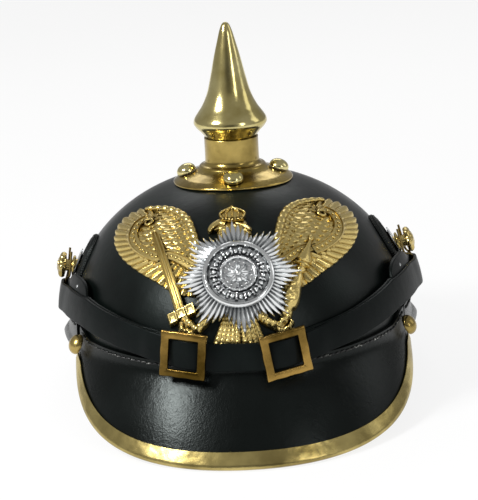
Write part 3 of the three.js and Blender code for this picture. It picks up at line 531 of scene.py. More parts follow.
# The base has tarnished: browner and a little duller than the spike.
tarnished_brass = metal("tarnished_spun_brass", "#6b5a2d", "#b59e5b", 0.2, 0.4, 0.01, 7.0, 0.12)
form = sheet(base_point, BASE_COLUMNS, len(BASE_ROWS), "joined")
looks = {"smooth": 50, "edge_mm": 0.35, "edge_angle": 50}
solid("spike_base_brass", form, tarnished_brass, "polished_brass", "spike_base", **looks)

# Four domed screws hold the skirt down, at the front, the back and the sides.
STUD_RING, STUD_HEIGHT, STUD_SLOPE, STUD_RADIUS, STUD_RISE = 27.0, 129.4, radians(20), 5.8, 4.8
for number, where in enumerate(("front", "left", "back", "right")):
    outward = round_axis(1, number * pi / 2, 0)
    seat = outward * STUD_RING + UP * STUD_HEIGHT
    lean = outward * sin(STUD_SLOPE) + UP * cos(STUD_SLOPE)
    head, name = domed(STUD_RADIUS, STUD_RISE), f"base_stud_{where}"
    head_on(f"{name}_brass", head, seat, lean, spun_brass, "polished_brass", name)

# ---- Eagle plate ----
# The front plate is an eagle die-stamped from sheet brass, gilt, and bent to the dome. Wire loops
# on its back go through the leather. It carries a sword and a sceptre; its ribbons are left plain.
PLATE_TILT, PLATE_LIFT = radians(40), 0.6
plate_middle = Vector((0, -98.6, 92.8))
plate_out = Vector((0, -cos(PLATE_TILT), sin(PLATE_TILT)))
plate_up = Vector((0, sin(PLATE_TILT), cos(PLATE_TILT)))
eagle_forms = []
stamp = eagle_forms.append


def on_plate(u, v, lift):
    """A point of the plate: u to the right and v up the slope from the star's middle."""
    flat = plate_middle + plate_up * v
    flat.x = u
    return onto_dome(flat, plate_out, PLATE_LIFT + lift)


def stamped_metal(name, painted_hollow_shade, dark, light, roughness, hollow_mm):
    """Die-stamped metal: polished on its ridges and dull in its hollows, where painted shade darkens the
    colour.
    """
    material, tree, shader = new_material(name)
    where = add_node(tree, "TexCoord", {}, "Object")
    cloud = add_node(tree, "TexNoise", {"Vector": where, "Scale": 90.0, "Detail": 4.0})
    fine = add_node(tree, "TexNoise", {"Vector": where, "Scale": 1500.0, "Detail": 2.0})
    # Ambient occlusion finds the hollows: it paints shade into the colour there, and it also dulls the
    # shine.
    open_sky = add_node(tree, "AmbientOcclusion", {"Distance": hollow_mm * MM}, "AO", samples=8)
    height = add_node(tree, "MapRange", {"Value": open_sky, "To Min": -0.25, "To Max": 1.15})
    shade = add_node(tree, "Math", {0: height, 1: cloud}, operation="ADD")
    tone = add_node(tree, "Math", {0: shade, 1: 0.6}, operation="MULTIPLY")
    dulled = {"Value": open_sky, "To Min": roughness + 0.25, "To Max": roughness}
    # The first stop is the painted shade in the deepest hollows.
    stops = [(0.15, painted_hollow_shade), (0.55, dark), (0.85, light)]
    sockets = {
        "Base Color": add_node(tree, "ValToRGB", {0: tone}, stops=stops),
        "Roughness": add_node(tree, "MapRange", dulled),
        "Metallic": 1.0,
        "Normal": add_node(tree, "Bump", {"Height": fine, "Distance": 0.03 * MM}),
    }
    connect(tree, shader, sockets)
    return material


def along_path(path, share):
    """The place, and the direction, at a share of a path's length."""
    spans = [dist(a, b) for a, b in zip(path, path[1:])]
    left = share * sum(spans)
    for k, span in enumerate(spans):
        if left <= span or k == len(spans) - 1:
            (a, b), (c, d) = path[k], path[k + 1]
            t = left / span
            return (a + (c - a) * t, b + (d - b) * t), ((c - a) / span, (d - b) / span)
        left -= span


def strip(path, half_width, relief, steps, columns, surface=on_plate):
    """A form along a path: half_width(s), and relief(s, t) where t runs -1 to 1 across."""
    rows = []
    for s in (i / steps for i in range(steps + 1)):
        (u, v), (du, dv) = along_path(path, s)
        rows.append((u, v, dv * half_width(s), -du * half_width(s)))

    def spot(i, j, is_face):
        u, v, across_u, across_v = rows[i]
        t = 2 * j / columns - 1
        return surface(u + across_u * t, v + across_v * t, relief(i / steps, t) if is_face else 0)

    return sheet(spot, steps, columns)


PATCH_RINGS = 8


def patch(edge_rows, middle, relief):
    """A form inside a closed edge: relief(share of the way out, share of the way round)."""
    edge = smooth_profile(edge_rows + edge_rows[:1], 4)[:-1]
    count = len(edge)
    shares = [max(k, 0.02) / PATCH_RINGS for k in range(PATCH_RINGS + 1)]
    points = []
    for share, is_face in [(s, True) for s in shares] + [(s, False) for s in reversed(shares)]:
        for i, (u, v) in enumerate(edge):
            at_u, at_v = middle[0] + (u - middle[0]) * share, middle[1] + (v - middle[1]) * share
            points.append(on_plate(at_u, at_v, relief(share, i / count) if is_face else 0))
    return rings(points, count, "capped")


def bead(u, v, radius, base, surface=on_plate, height=1.0, steps=4, around=12):
    """A round bead that stands on a level of the relief."""
    turns = [k / steps * pi / 2 for k in range(steps + 1)]

    def spot(reach, angle, rise):
        return surface(u + reach * cos(angle), v + reach * sin(angle), base + rise)

    return turned([(radius * sin(t), radius * height * cos(t)) for t in turns], around, spot, "capped")


def rounded(t):
    """Height of a half circle from -1 to 1."""
    return sqrt(max(0.0, 1 - t * t))


def ridge(level, height):
    """The relief of a flat strip with a raised middle."""
    return lambda s, t: level + height * (1 - t * t)


def wide(half):
    """The width of an even strip."""
    return lambda s: half


def feather(root, tip, width, level, dip=0.5, lean=0.2):
    """One feather: a leaf with a raised quill, which laps over the next and dips to its tip."""
    middle = ((root[0] + tip[0]) / 2, (root[1] + tip[1]) / 2)

    def half_width(s):
        return width / 2 * (0.75 + 0.25 * min(1, s / 0.5)) * max(0.12, rounded(max(0.0, (s - 0.72) / 0.28)))

    def relief(s, t):
        quill = 0.3 * max(0, 1 - abs(t) / 0.25)
        return level + 0.75 * (1 - t * t) + quill + lean * t - dip * s * s

    stamp(strip(smooth_profile([root, middle, tip], 4), half_width, relief, 6, 8))


def bead_row(path, count, lead, slack, radius, level, rise=0.0, **shape):
    """Beads evenly along a line count + slack spacings long; the first is lead spacings from its start."""
    for n in range(count):
        (u, v), _ = along_path(path, (n + lead) / (count + slack))
        stamp(bead(u, v, radius, level + rise * n, **shape))


# Wing outline and the lines its feathers follow, for the wing on the +X side.
WING_EDGE = [(47, 60.5), (53, 63), (58.5, 63), (64.3, 60.6), (68, 55), (69.2, 49), (69.3, 42.5), (67.7, 36)]
WING_EDGE += [(65, 29), (61, 22.3), (56, 16), (51.6, 11), (47.2, 7), (43, 3), (39.3, -0.6), (34.5, -4.2)]
WING_EDGE += [(29, -7), (23.5, -8)]
FEATHER_ROOTS = [(43, 47), (47, 49.5), (51, 49.3), (54, 46.5), (55.8, 42.5), (56, 38), (54, 32.5)]
FEATHER_ROOTS += [(51, 27.5), (47.5, 23), (44, 19), (40, 16), (36, 13), (32, 10.5), (28, 8), (24, 5.5)]
FEATHER_ROOTS += [(20, 3)]
LEADING_EDGE = [(20.5, 9), (21.4, 17), (22.6, 25.5), (24.4, 34), (26.6, 42), (30.5, 49), (36.5, 54.4)]
LEADING_EDGE += [(44, 58.4), (51, 61)]
RIBBON_OUTER = [(50, 51), (54.6, 49.2), (57.5, 44), (57.8, 38), (55.6, 31.5), (51, 25.4), (46, 20.9)]
RIBBON_OUTER += [(42, 18.4)]
RIBBON_INNER = [(40.5, 20.2), (35, 17.6), (30, 13.8), (25, 9.6), (20.5, 6)]
RIBBON_CURL = [(50.5, 49.5), (47.6, 49.2), (46.6, 46.6), (48.6, 44.9), (50.6, 46.2), (50, 47.9)]
WING_FEATHERS, COVERT_COLUMNS, COVERT_ROWS = 21, 15, 6


def between_lines(near, far, columns, rows, place, relief):
    """A raised field between two lines: place(a) is how far it reaches, relief(a, b) its height."""

    def spot(i, j, is_face):
        a, b = i / columns, place(i / columns) * j / rows
        (u, v), (far_u, far_v) = along_path(near, a)[0], along_path(far, a)[0]
        return on_plate(u + (far_u - u) * b, v + (far_v - v) * b, relief(a, b) if is_face else 0)

    stamp(sheet(spot, columns, rows))


def across_feather(a, count, offset=0.0):
    """Where a place falls across its feather, -1 to 1."""
    return (a * count + offset) % 1 * 2 - 1


def flight_reach(a):
    """The wing's edge is scalloped by the feathers' round tips."""
    return 0.94 + 0.07 * rounded(across_feather(a, WING_FEATHERS))


def flight_relief(a, b):
    """Long feathers with rounded backs, quills and barbs, under a row of shorter ones."""
    short = across_feather(a, WING_FEATHERS, 0.5)
    x, level, lead = across_feather(a, WING_FEATHERS), 0.9, b
    if b < 0.3 + 0.14 * (1 - short * short):
        x, level, lead = short, 1.5, b + 0.3
    back = 1.2 * (1 - abs(x) ** 1.7) + 0.35 * max(0, 1 - abs(x) / 0.22)
    barbs = 0.09 * cos(TURN * (11 * b + 1.3 * abs(x)))
    return level + back + barbs - 0.35 * lead - 0.5 * smooth_step(0.8, 1, b) * x * x


def covert_relief(a, b):
    """Rows of short curled feathers, each lapped over the next row away from the leading edge."""
    sway = 0.28 * sin(1.7 * COVERT_ROWS * b + 9 * a)
    for row in range(COVERT_ROWS + 1):
        x = across_feather(a + sway / COVERT_COLUMNS, COVERT_COLUMNS, row % 2 / 2)
        tip = row + 0.55 + 0.6 * rounded(x) + 0.25 * x
        if COVERT_ROWS * b < tip:
            along = min(1.0, max(0.0, COVERT_ROWS * b - tip + 1.3))
            return 1.0 + 0.75 * along + 0.5 * (1 - x * x) + 0.18 * max(0, 1 - abs(x) / 0.25)


def lobe(s):
    """The short feathers that lie side by side along the leading edge."""
    return abs(sin(14 * pi * s))


def front_width(s):
    return (2.3 + 0.35 * lobe(s)) * sin(pi * (0.12 + 0.8 * s)) ** 0.5


def front_relief(s, t):
    return 1.2 + (1.7 + 0.7 * lobe(s + 0.012 * t)) * rounded(t)


def ribbon_relief(s, t):
    """A scroll with raised rims."""
    return 2.9 + 0.6 * smooth_step(0.68, 0.78, abs(t)) * (1 - smooth_step(0.9, 1, abs(t)))


for side in (-1, 1):

    def on_side(rows, steps):
        return smooth_profile([(u * side, v) for u, v in rows], steps)

    edge, roots, front = on_side(WING_EDGE, 4), on_side(FEATHER_ROOTS, 4), on_side(LEADING_EDGE, 6)
    # Flight feathers run from under the ribbon to the edge, and coverts fill the rest of the wing.
    between_lines(roots, edge, WING_FEATHERS * 9, 20, flight_reach, flight_relief)
    between_lines(front[:-4], roots[::-1], COVERT_COLUMNS * 9, COVERT_ROWS * 9, lambda a: 1, covert_relief)
    stamp(strip(front, front_width, front_relief, 140, 8))
    # The ribbon is left without words: a row of beads fills it.
    for line, beads in ((RIBBON_OUTER, 12), (RIBBON_INNER, 8)):
        path = on_side(line, 6)
        stamp(strip(path, wide(2.9), ribbon_relief, 30, 18))
        bead_row(path, beads, 0.8, 0.6, 1.05, 2.8, height=0.9)
    stamp(strip(on_side(RIBBON_CURL, 6), lambda s: 1.1 - 0.5 * s, ridge(3.0, 0.7), 26, 4))

# Tail: long feathers in two groups, with barbs like twisted cord.
TAIL_TOP = -17
TAIL = [(-5.5, -14.5, -36), (-4.5, -11.6, -37), (-3.4, -8.4, -37.5), (-2.6, -5.2, -37.5), (-1.6, -2.4, -36)]
TAIL += [(0.6, 2.2, -36), (2, 5.2, -37), (3.4, 8.2, -36.5), (4.6, 11, -34.5)]


def tail_width(s):
    return 1.9 * (0.7 + 0.3 * s) * (1 if s < 0.9 else max(0.2, (1 - s) / 0.1) ** 0.5)


def tail_relief(s, t):
    return 1.0 + 0.9 * (1 - t * t) + 0.28 * cos(TURN * (9 * s - 0.6 * abs(t)))


for root, tip_u, tip_v in TAIL:
    stamp(strip([(root, TAIL_TOP), (tip_u, tip_v)], tail_width, tail_relief, 48, 6))

# Legs: scaled shanks that run out from under the star, and toes closed round each grip.
LEGS = [
    # (path, half width, height, knuckles)
    ([(-13, -15), (-17.6, -20.6), (-23.8, -26.8)], 2.7, 3.8, 3),
    ([(-23.8, -26.8), (-27.6, -23.2), (-30, -19.6)], 2.8, 4.6, 2),
    ([(-24.6, -25.6), (-27.6, -28), (-28.8, -24.4)], 1.9, 3.4, 2),
    ([(-28.6, -26.6), (-31.6, -25.4), (-31.4, -21.8)], 1.9, 3.6, 2),
    ([(8, -16), (10.6, -21.4), (15.6, -25.2), (20.6, -26.6)], 2.5, 3.6, 6),
    ([(20, -27.6), (22.6, -24.2), (26.2, -21.6)], 2.0, 4.0, 2),
    ([(19.4, -26), (21.2, -29.2), (24.6, -28.2)], 1.8, 3.4, 2),
    ([(22.6, -29.6), (25.6, -27.2), (27.4, -24.2)], 1.4, 3.0, 2),
]
for path, half, height, knuckles in LEGS:

    def swell(s):
        return 1 + 0.08 * cos(TURN * knuckles * s)

    def leg_relief(s, t):
        return 0.6 + height * rounded(t) * swell(s)

    stamp(strip(smooth_profile(path, 6), lambda s: half * swell(s), leg_relief, 40, 8))


# Sword: a straight blade with two grooves, and a crossguard of three square blocks.
def blade_width(s):
    return (2.1 + 0.5 * s) * (1 if s > 0.04 else max(0.35, s / 0.04) ** 0.5)


def blade_relief(s, t):
    return 4.0 - 0.8 * s + 0.42 * cos(TURN * t / 0.9) - 0.5 * smooth_step(0.85, 1, abs(t))


stamp(strip([(-45.4, 37.4), (-32.2, -14.6)], blade_width, blade_relief, 40, 18))
BLOCKS = [
    # (start, end, half width, height)
    ((-38.6, -19.2), (-33.8, -17.9), 3.1, 4.2),
    ((-33.9, -17.9), (-29.2, -16.6), 2.7, 4.9),
    ((-29.2, -16.5), (-24.2, -15.1), 3.1, 4.2),
]
for start, end, half, height in BLOCKS:

    def block_relief(s, t):
        """The border is raised, and its outer edge falls off."""
        reach = max(abs(2 * s - 1), abs(t))
        return height - 1.2 * smooth_step(0.82, 1, reach) - 0.35 * (1 - smooth_step(0.45, 0.6, reach))

    stamp(strip([start, end], wide(half), block_relief, 12, 12))

# Sceptre: a turned staff, with a cone at its head, rings, and a swelling carved with lozenges.
SCEPTRE_PATH = [(41.6, 28.4), (35.4, 9), (30.6, -4), (25.6, -17.6), (20.6, -29.6)]
SCEPTRE = [
    # (share of its length, half width, height)
    (0.0, 0.5, 2.6), (0.02, 1.3, 3.4), (0.045, 1.5, 3.6), (0.07, 0.8, 3.0), (0.1, 1.1, 3.4),
    (0.16, 1.6, 3.9), (0.25, 3.1, 4.8), (0.31, 3.8, 5.2), (0.325, 2.4, 4.2), (0.335, 3.5, 4.8),
    (0.355, 3.5, 4.8), (0.365, 1.4, 3.4), (0.385, 2.1, 4.2), (0.41, 2.1, 4.2), (0.43, 1.1, 3.2),
    (0.46, 1.9, 3.8), (0.52, 2.4, 4.2), (0.62, 3.3, 4.9), (0.7, 3.9, 5.2), (0.76, 3.3, 4.8),
    (0.79, 1.9, 3.6), (0.81, 2.7, 4.2), (0.84, 2.7, 4.2), (0.86, 1.6, 3.4), (0.9, 2.3, 4.0),
    (0.94, 1.5, 3.2), (0.97, 2.1, 3.6), (1.0, 1.0, 2.6),
]
CARVED_FROM, CARVED_TO, LOZENGE = 0.54, 0.76, 0.11


def between_rows(rows, place, column):
    """Straight-line value of a table column at a place in its first column."""
    for low, high in zip(rows, rows[1:]):
        if place <= high[0]:
            return low[column] + (high[column] - low[column]) * (place - low[0]) / (high[0] - low[0])
    return rows[-1][column]


def sceptre_relief(s, t):
    top = (between_rows(SCEPTRE, s, 2) + 0.9 * (1 - s)) * (0.45 + 0.55 * rounded(t))
    if CARVED_FROM < s < CARVED_TO:
        lozenge = abs(((s - CARVED_FROM) / LOZENGE) % 1 - 0.5) * 2 + abs(t) * 1.2
        top += 0.6 * (smooth_step(0.5, 0.75, lozenge) - smooth_step(0.85, 1.1, lozenge))
    return top


sceptre_line = smooth_profile(SCEPTRE_PATH, 6)
stamp(strip(sceptre_line, lambda s: 1.15 * between_rows(SCEPTRE, s, 1), sceptre_relief, 130, 10))

# Neck and head, turned to the wearer's right: short neck feathers, a brow, an eye and a hooked beak.
HEAD_EDGE = [(-6.5, 18), (6, 18), (6.6, 25), (6.2, 31), (5.6, 37), (1, 39), (-4, 39.4), (-8, 38.2)]
HEAD_EDGE += [(-10.4, 36), (-10.6, 33), (-9, 30.8), (-8.2, 27), (-7.6, 22)]
THROAT = [(-8.6, 30.6), (-6.6, 29), (-8.4, 27.6), (-6.4, 25.6), (-8, 24.2)]
UPPER_BEAK = [(-5.4, 35.6), (-8, 36.9), (-10.6, 36.2), (-12.9, 34.6), (-14.3, 32.2), (-14.2, 30.4)]
LOWER_BEAK = [(-7, 32.4), (-9.6, 32.7), (-11.9, 31.6)]
BROW = [(-3.4, 36.6), (-6.4, 37.7), (-9.4, 37.2)]
stamp(patch(HEAD_EDGE, (-2, 29), lambda out, turn: 1.0 + 2.6 * rounded(0.97 * out)))
for row in range(6):
    for n in range(4):
        u, v = -0.6 + 1.9 * n - 0.35 * row, 36.4 - 2.9 * row - 0.9 * n
        feather((u - 1.2, v + 1.4), (u + 3.4, v - 3.4), 2.9, 2.6 - 0.28 * n)
for u, v in THROAT:
    feather((u + 1.2, v + 1.6), (u - 1.2, v - 2.6), 2.6, 2.2, dip=0.4, lean=-0.2)


def upper_relief(s, t):
    return 1.2 + (3.0 - 1.2 * s) * rounded(t)


def lower_relief(s, t):
    return 1.0 + (2.2 - 0.8 * s) * rounded(t)


stamp(strip(smooth_profile(UPPER_BEAK, 6), lambda s: 2.7 * (1 - s) ** 0.45 + 0.3, upper_relief, 30, 8))
stamp(strip(smooth_profile(LOWER_BEAK, 5), lambda s: 1.2 * (1 - s) ** 0.5 + 0.2, lower_relief, 14, 6))
stamp(strip(smooth_profile(BROW, 5), wide(0.8), ridge(3.0, 1.1), 12, 4))
stamp(bead(-6.6, 35.2, 0.75, 3.7))

# Crown: a jewelled band, arches over a ribbed cap, and an orb with a cross.
CROWN_MIDDLE = -1.7
CROWN_EDGE = [(-7.3, 38.4), (-2, 37.2), (3.9, 38.2), (4.9, 41.2), (4.2, 43.7), (1.2, 45.6), (-1.7, 46.2)]
CROWN_EDGE += [(-4.4, 45.6), (-7.2, 43.9), (-8.2, 41.4)]
CROWN_BAND = smooth_profile([(-7.5, 38), (-1.7, 36.8), (4.3, 37.6)], 6)
CROWN_ARCHES = [(-7.1, -1.8), (-4.5, -1), (-1.7, 0), (1.3, 1), (4, 1.8)]  # foot, and outward swing


def cap_relief(out, turn):
    return 3.3 + 0.15 * out * cos(44 * pi * turn) + 1.5 * rounded(0.97 * out)


stamp(patch(CROWN_EDGE, (CROWN_MIDDLE, 44.2), cap_relief))
stamp(strip(CROWN_BAND, wide(1.2), lambda s, t: 4.8 + 0.5 * (0.6 < abs(t) < 0.99), 20, 8))
bead_row(CROWN_BAND, 7, 0.5, 0, 0.72, 5.0)
for foot, swing in CROWN_ARCHES:
    shoulder = CROWN_MIDDLE + (foot - CROWN_MIDDLE) * 0.45
    rows = [(foot, 38.6), (foot + swing * 0.6, 42.4), (shoulder, 45), (CROWN_MIDDLE, 46)]
    arch = smooth_profile(rows, 6)
    stamp(strip(arch, wide(0.8), lambda s, t: 4.2 + 1.0 * (1 - t * t) + 0.8 * s, 20, 4))
    bead_row(arch, 5, 0.6, 0.6, 0.45, 5.1, rise=0.16, around=8, steps=3)
stamp(bead(CROWN_MIDDLE, 46.4, 1.0, 2.6))
for bar in ([(CROWN_MIDDLE, 46.8), (CROWN_MIDDLE, 49.4)], [(-2.8, 48.3), (-0.6, 48.3)]):
    stamp(strip(bar, wide(0.4), ridge(3.0, 0), 4, 4))

# Gilt brass: brown-gold, with near black-brown painted shade in its hollows.
gilt_brass = stamped_metal("gilt_stamped_brass", "#1c1508", "#8d7740", "#d4bd78", 0.27, 1.8)
solid("eagle_plate_brass", together(eagle_forms), gilt_brass, "stamped_brass", "eagle_plate", smooth=50)

# ---- Star ----
# The star is a second stamping, silvered, bolted over the eagle's breast. Its rays step out to
# eight points. The ring round its boss carries beads and bars, and the centre a rosette.
STAR_LIFT, STAR_BEND, STAR_TURN = 5.2, 160.0, radians(3.5)
STAR_TIP, STAR_LOW, STAR_RAYS, RAY_ROOT, BOSS_COLUMNS = 34.0, 25.5, 64, 17, 96
star_middle = on_plate(0, 0, STAR_LIFT - PLATE_LIFT)
star_forms = []
strike = star_forms.append


def on_star(u, v, lift):
    point = star_middle + plate_up * v + plate_out * (lift - (u * u + v * v) / (2 * STAR_BEND))
    point.x = u
    return point


def polar(radius, share):
    """A spot at a radius and a share of the way round, from the top."""
    angle = share * TURN + STAR_TURN
    return (-radius * sin(angle), radius * cos(angle))


def star_beads(count, radius, size, base, offset=0.0, **shape):
    for n in range(count):
        strike(bead(*polar(radius, (n + offset) / count), size, base, surface=on_star, **shape))


for ray in range(STAR_RAYS):
    step = abs((ray + 4) % 8 - 4) / 4
    tip = STAR_TIP + (STAR_LOW - STAR_TIP) * step

    def ray_width(s):
        full = (RAY_ROOT + (tip - RAY_ROOT) * s) * TURN / STAR_RAYS * 0.52
        return full * (1 if s < 0.5 else max(0.07, (1 - s) / 0.5) ** 0.75)

    def ray_relief(s, t):
        return 1.9 - 1.2 * s - 0.3 * step + 1.35 * (1 - abs(t)) * (1 - 0.45 * s)

    ends = [polar(radius, ray / STAR_RAYS) for radius in (RAY_ROOT, tip)]
    strike(strip(ends, ray_width, ray_relief, 10, 6, on_star))

BOSS = [(0.001, 1.6), (4, 1.6), (8.2, 1.5), (8.5, 1.6), (8.8, 3.2), (9.3, 3.7), (9.9, 3.7), (10.3, 3.2)]
BOSS += [(10.6, 1.3), (11.5, 1.2), (15.6, 1.2), (16.0, 1.2), (16.3, 1.6), (16.5, 3.2), (17, 3.9)]
BOSS += [(18, 4.2), (18.8, 3.9), (19.3, 3.2), (19.5, 1.2)]
BOSS += [(radius, 0.2) for radius, _ in reversed(BOSS)]


def boss_point(radius, angle, lift):
    return on_star(*polar(radius, angle / TURN), lift)


strike(turned(BOSS, BOSS_COLUMNS, boss_point))
RING_MARKS, PETALS = 18, 8
star_beads(RING_MARKS, 13.2, 1.5, 1.7, height=1.3)
star_beads(44, 9.6, 0.45, 3.6, steps=3, around=8)
star_beads(16, 7.3, 0.6, 1.6, offset=0.5, steps=3, around=8)
star_beads(1, 0, 1.7, 2.6)


def bar_width(s):
    return 0.6 + 0.25 * cos(2 * TURN * s)


def petal_width(s):
    return 1.9 * sin(pi * (0.12 + 0.83 * s))


def petal_relief(s, t):
    return 2.0 + 1.4 * (1 - t * t) - 0.6 * max(0, 1 - abs(t) / 0.3)


for n in range(RING_MARKS):
    ends = [polar(radius, (n + 0.5) / RING_MARKS) for radius in (11.4, 15.2)]
    strike(strip(ends, bar_width, ridge(3.0, 0.6), 12, 4, on_star))
for n in range(PETALS):
    ends = [polar(radius, n / PETALS) for radius in (1.0, 6.6)]
    strike(strip(ends, petal_width, petal_relief, 8, 6, on_star))

# Silver plate: bright on the rays, with near-black painted shade in the hollows between them.
silvered = stamped_metal("silvered_stamping", "#101214", "#8d9092", "#e2e4e4", 0.17, 1.8)
solid("star_silver", together(star_forms), silvered, "silver_plate", "star", smooth=35)

# ---- Cockades ----
# A cockade sits on each side under the strap post: a leather disc, pressed into fine pleats and
# dyed black, with a cord braided round its rim and a thin plated washer over its middle.
PLEATS, BRAIDS = 56, 46
COCKADE_COLUMNS, COCKADE_FOOT, DISC_SEAT = PLEATS * 8, 0.4, 30
COCKADE_ROWS = [
    # (radius, rise over the skull, pleat depth, braid depth)
    (5.3, 1.8, 0.0, 0.0), (7.0, 2.0, 0.15, 0.0), (10.0, 2.1, 0.6, 0.0), (14.0, 2.2, 0.85, 0.0),
    (16.4, 2.0, 0.7, 0.0), (16.8, 1.3, 0.1, 0.0), (17.3, 2.0, 0.0, 0.35), (18.2, 2.4, 0.0, 0.6),
    (19.0, 1.9, 0.0, 0.35), (19.2, 1.5, 0.0, 0.1), (19.6, 1.9, 0.0, -0.35), (20.5, 2.2, 0.0, -0.6),
    (21.3, 1.5, 0.0, -0.35), (21.4, 0.9, 0.0, 0.0),
]
WASHER = [(5.0, 2.3), (5.0, 2.8), (9.6, 3.9), (10.2, 3.8), (10.2, 3.2), (7, 2.2)]
# The wearer's side, the post's height and lean, and the buckle's turn round the front and its tilt.
left = SimpleNamespace(name="left", side=1, post_z=78.5, lean=radians(15), turn=10.9, tilt=radians(8))
right = SimpleNamespace(name="right", side=-1, post_z=75.0, lean=radians(9), turn=-15.1)
right.tilt = radians(-4)
# Black leather with brown showing where the dye has worn from the pleats.
cockade_leather = leather("dyed_pleated_leather", "#060808", "#191a18", 0.42, 0.6, 0.08, 0.25)
# Nickel plate: a thin pale line of metal.
plated_washer = metal("plated_washer", "#8b8d8e", "#cfd1d1", 0.2, 0.4, 0.01)


def post_foot(pair):
    """Where the post stands on the side of the skull."""
    out = DOME_SIDE * sqrt(1 - ((pair.post_z - DOME_BASE) / DOME_RISE) ** 2)
    return Vector((pair.side * out, 0, pair.post_z))


def beside_post(pair, radius, angle, lift):
    """A point of a disc that is centred on the post and bent to the skull."""
    middle = post_foot(pair)
    outward = Vector((middle.x / DOME_SIDE**2, 0, (middle.z - DOME_BASE) / DOME_RISE**2)).normalized()
    upward = (-BACKWARD * pair.side).cross(outward)
    flat = middle + BACKWARD * radius * cos(angle) + upward * radius * sin(angle)
    return onto_dome(flat - outward * DISC_SEAT, outward, lift)


for pair in (left, right):

    def cockade_point(i, j, is_face):
        radius, rise, pleat, braid = COCKADE_ROWS[j]
        angle = i / COCKADE_COLUMNS * TURN
        if not is_face:
            return beside_post(pair, radius, angle, COCKADE_FOOT)
        wave = 0.5 + 0.5 * cos(PLEATS * angle)
        cord = abs(sin(BRAIDS * angle + 2.4 * (radius - 19.1) * (1 if braid > 0 else -1))) - 1
        radius += 0.8 * cord if radius > 20 else 0
        return beside_post(pair, radius, angle, rise - pleat * wave + 0.45 * abs(braid) * cord)

    name = f"cockade_{pair.name}"
    form = sheet(cockade_point, COCKADE_COLUMNS, len(COCKADE_ROWS) - 1, "joined")
    solid(f"{name}_leather", form, cockade_leather, "cockade_leather", name, smooth=60)
    form = turned(WASHER, 48, lambda *place: beside_post(pair, *place), "joined")
    solid(f"washer_{pair.name}", form, plated_washer, "silver_plate")

# ---- Posts and strap pins ----
# Each strap post is turned brass, screwed to a plate inside: a rounded flange, a slim neck and a cap
# cut into six lobes. A brass wire bent double stands behind the cap and goes down through the
# fold of the strap.
POST = [
    # (radius, height over the skull)
    (0.001, 1.2), (4.2, 1.2), (4.2, 3.4), (5.4, 3.5), (6.0, 3.8), (6.2, 4.4), (5.9, 5.0),
    (4.6, 5.4), (3.5, 5.7), (3.4, 7.2), (3.6, 8.9), (5.2, 9.2), (6.3, 9.3), (6.9, 10.1),
    (7.1, 11.0), (6.8, 12.1), (5.6, 13.0), (4.2, 13.3), (3.7, 13.7), (2.2, 14.2), (0.001, 14.2),
]
CAP_LOBES, LOBE_DEPTH, CAP_FROM, CAP_TO = 6, 0.1, 9, 13.5
# A pin's legs stand behind the cap, at these heights over the post's foot, and then pass down the fold.
PIN_LEGS = [(-4.9, 6.2, 88), (4.9, 7.8, 89.6)]  # sideways, outward, turn
LEG_HEIGHTS, FOLD_HEIGHTS = (10.5, 3, -4), (8.4, 4.2, 0, -4.2, -8.4)
PIN_BEND_TURN, PIN_BEND_DOWN, WIRE_RADIUS = 88.8, -10.2, 0.7
STRAP_WIDTH, STRAP_THICK, FOLD, FOLD_TURN = 15.0, 1.6, 2.0, 90.0
# The wearer's left end is pulled up and out, to its higher post.
LEFT_RISE, LEFT_OUT, LEFT_FROM, LEFT_TO = 4.2, 2.0, 30.0, 88.0
STRAP_RUN = [
    # (turn from the front in degrees, middle height, middle's distance from the skull)
    (0, 53, 5.5), (6, 53.3, 5.5), (14, 55.3, 5.5), (24, 58.6, 5.5),
    (40, 62.4, 4.9), (55, 65.6, 5.4), (72, 64.4, 5.8), (90, 60.2, 6.3),
]
# Cast and turned brass, bright on the lobes.
cast_brass = metal("turned_post_brass", "#7d6b35", "#cdb878", 0.2, 0.5, 0.02, 2.5, 0.12)
# Wire brass, brown with age.
aged_wire = metal("aged_brass_wire", "#4f4122", "#93804f", 0.3, 0.3, 0.02)


def strap_point(turn, across, out):
    """A point of the strap's run: turn in degrees, across up from its middle, out from the skull."""
    pulled = smooth_step(LEFT_FROM, LEFT_TO, turn)
    height = between_rows(STRAP_RUN, abs(turn), 1) + LEFT_RISE * pulled
    return wall(radians(turn), height + across, out + LEFT_OUT * pulled)


def strap_out(turn):
    return between_rows(STRAP_RUN, abs(turn), 2)


def curve_through(path, steps):
    """A smooth curve through points in space."""
    flat = [smooth_profile([(p[0], p[k]) for p in path], steps) for k in (1, 2)]
    return [Vector((a[0], a[1], b[1])) for a, b in zip(*flat)]


for pair in (left, right):
    foot, outward = post_foot(pair), Vector((pair.side * cos(pair.lean), 0, sin(pair.lean)))
    upward = BACKWARD.cross(outward)

    def post_point(radius, angle, height):
        p = round_axis(radius, angle, height)
        lobe = 1
        if CAP_FROM < height < CAP_TO:
            lobe += LOBE_DEPTH * cos(CAP_LOBES * atan2(p.y, p.x))
        return foot + BACKWARD * p.x * lobe + upward * p.y * lobe + outward * p.z

    name = f"post_{pair.name}"
    solid(f"{name}_brass", turned(POST, 96, post_point), cast_brass, "polished_brass", name)

    legs = []
    for sideways, out, turn in PIN_LEGS:
        leg = []
        for rise in LEG_HEIGHTS:
            away = (out - sin(pair.lean) * rise) / cos(pair.lean)
            leg.append(Vector((foot.x + pair.side * away, sideways, pair.post_z + rise)))
        for across in FOLD_HEIGHTS:
            leg.append(strap_point(pair.side * turn, across, strap_out(FOLD_TURN)))
        legs.append(leg)
    bend = strap_point(pair.side * PIN_BEND_TURN, PIN_BEND_DOWN, strap_out(FOLD_TURN))
    wire = tube(curve_through(legs[0] + [bend] + legs[1][::-1], 5), WIRE_RADIUS)
    name = f"strap_pin_{pair.name}"
    solid(f"{name}_wire", wire, aged_wire, "tarnished_brass", name)

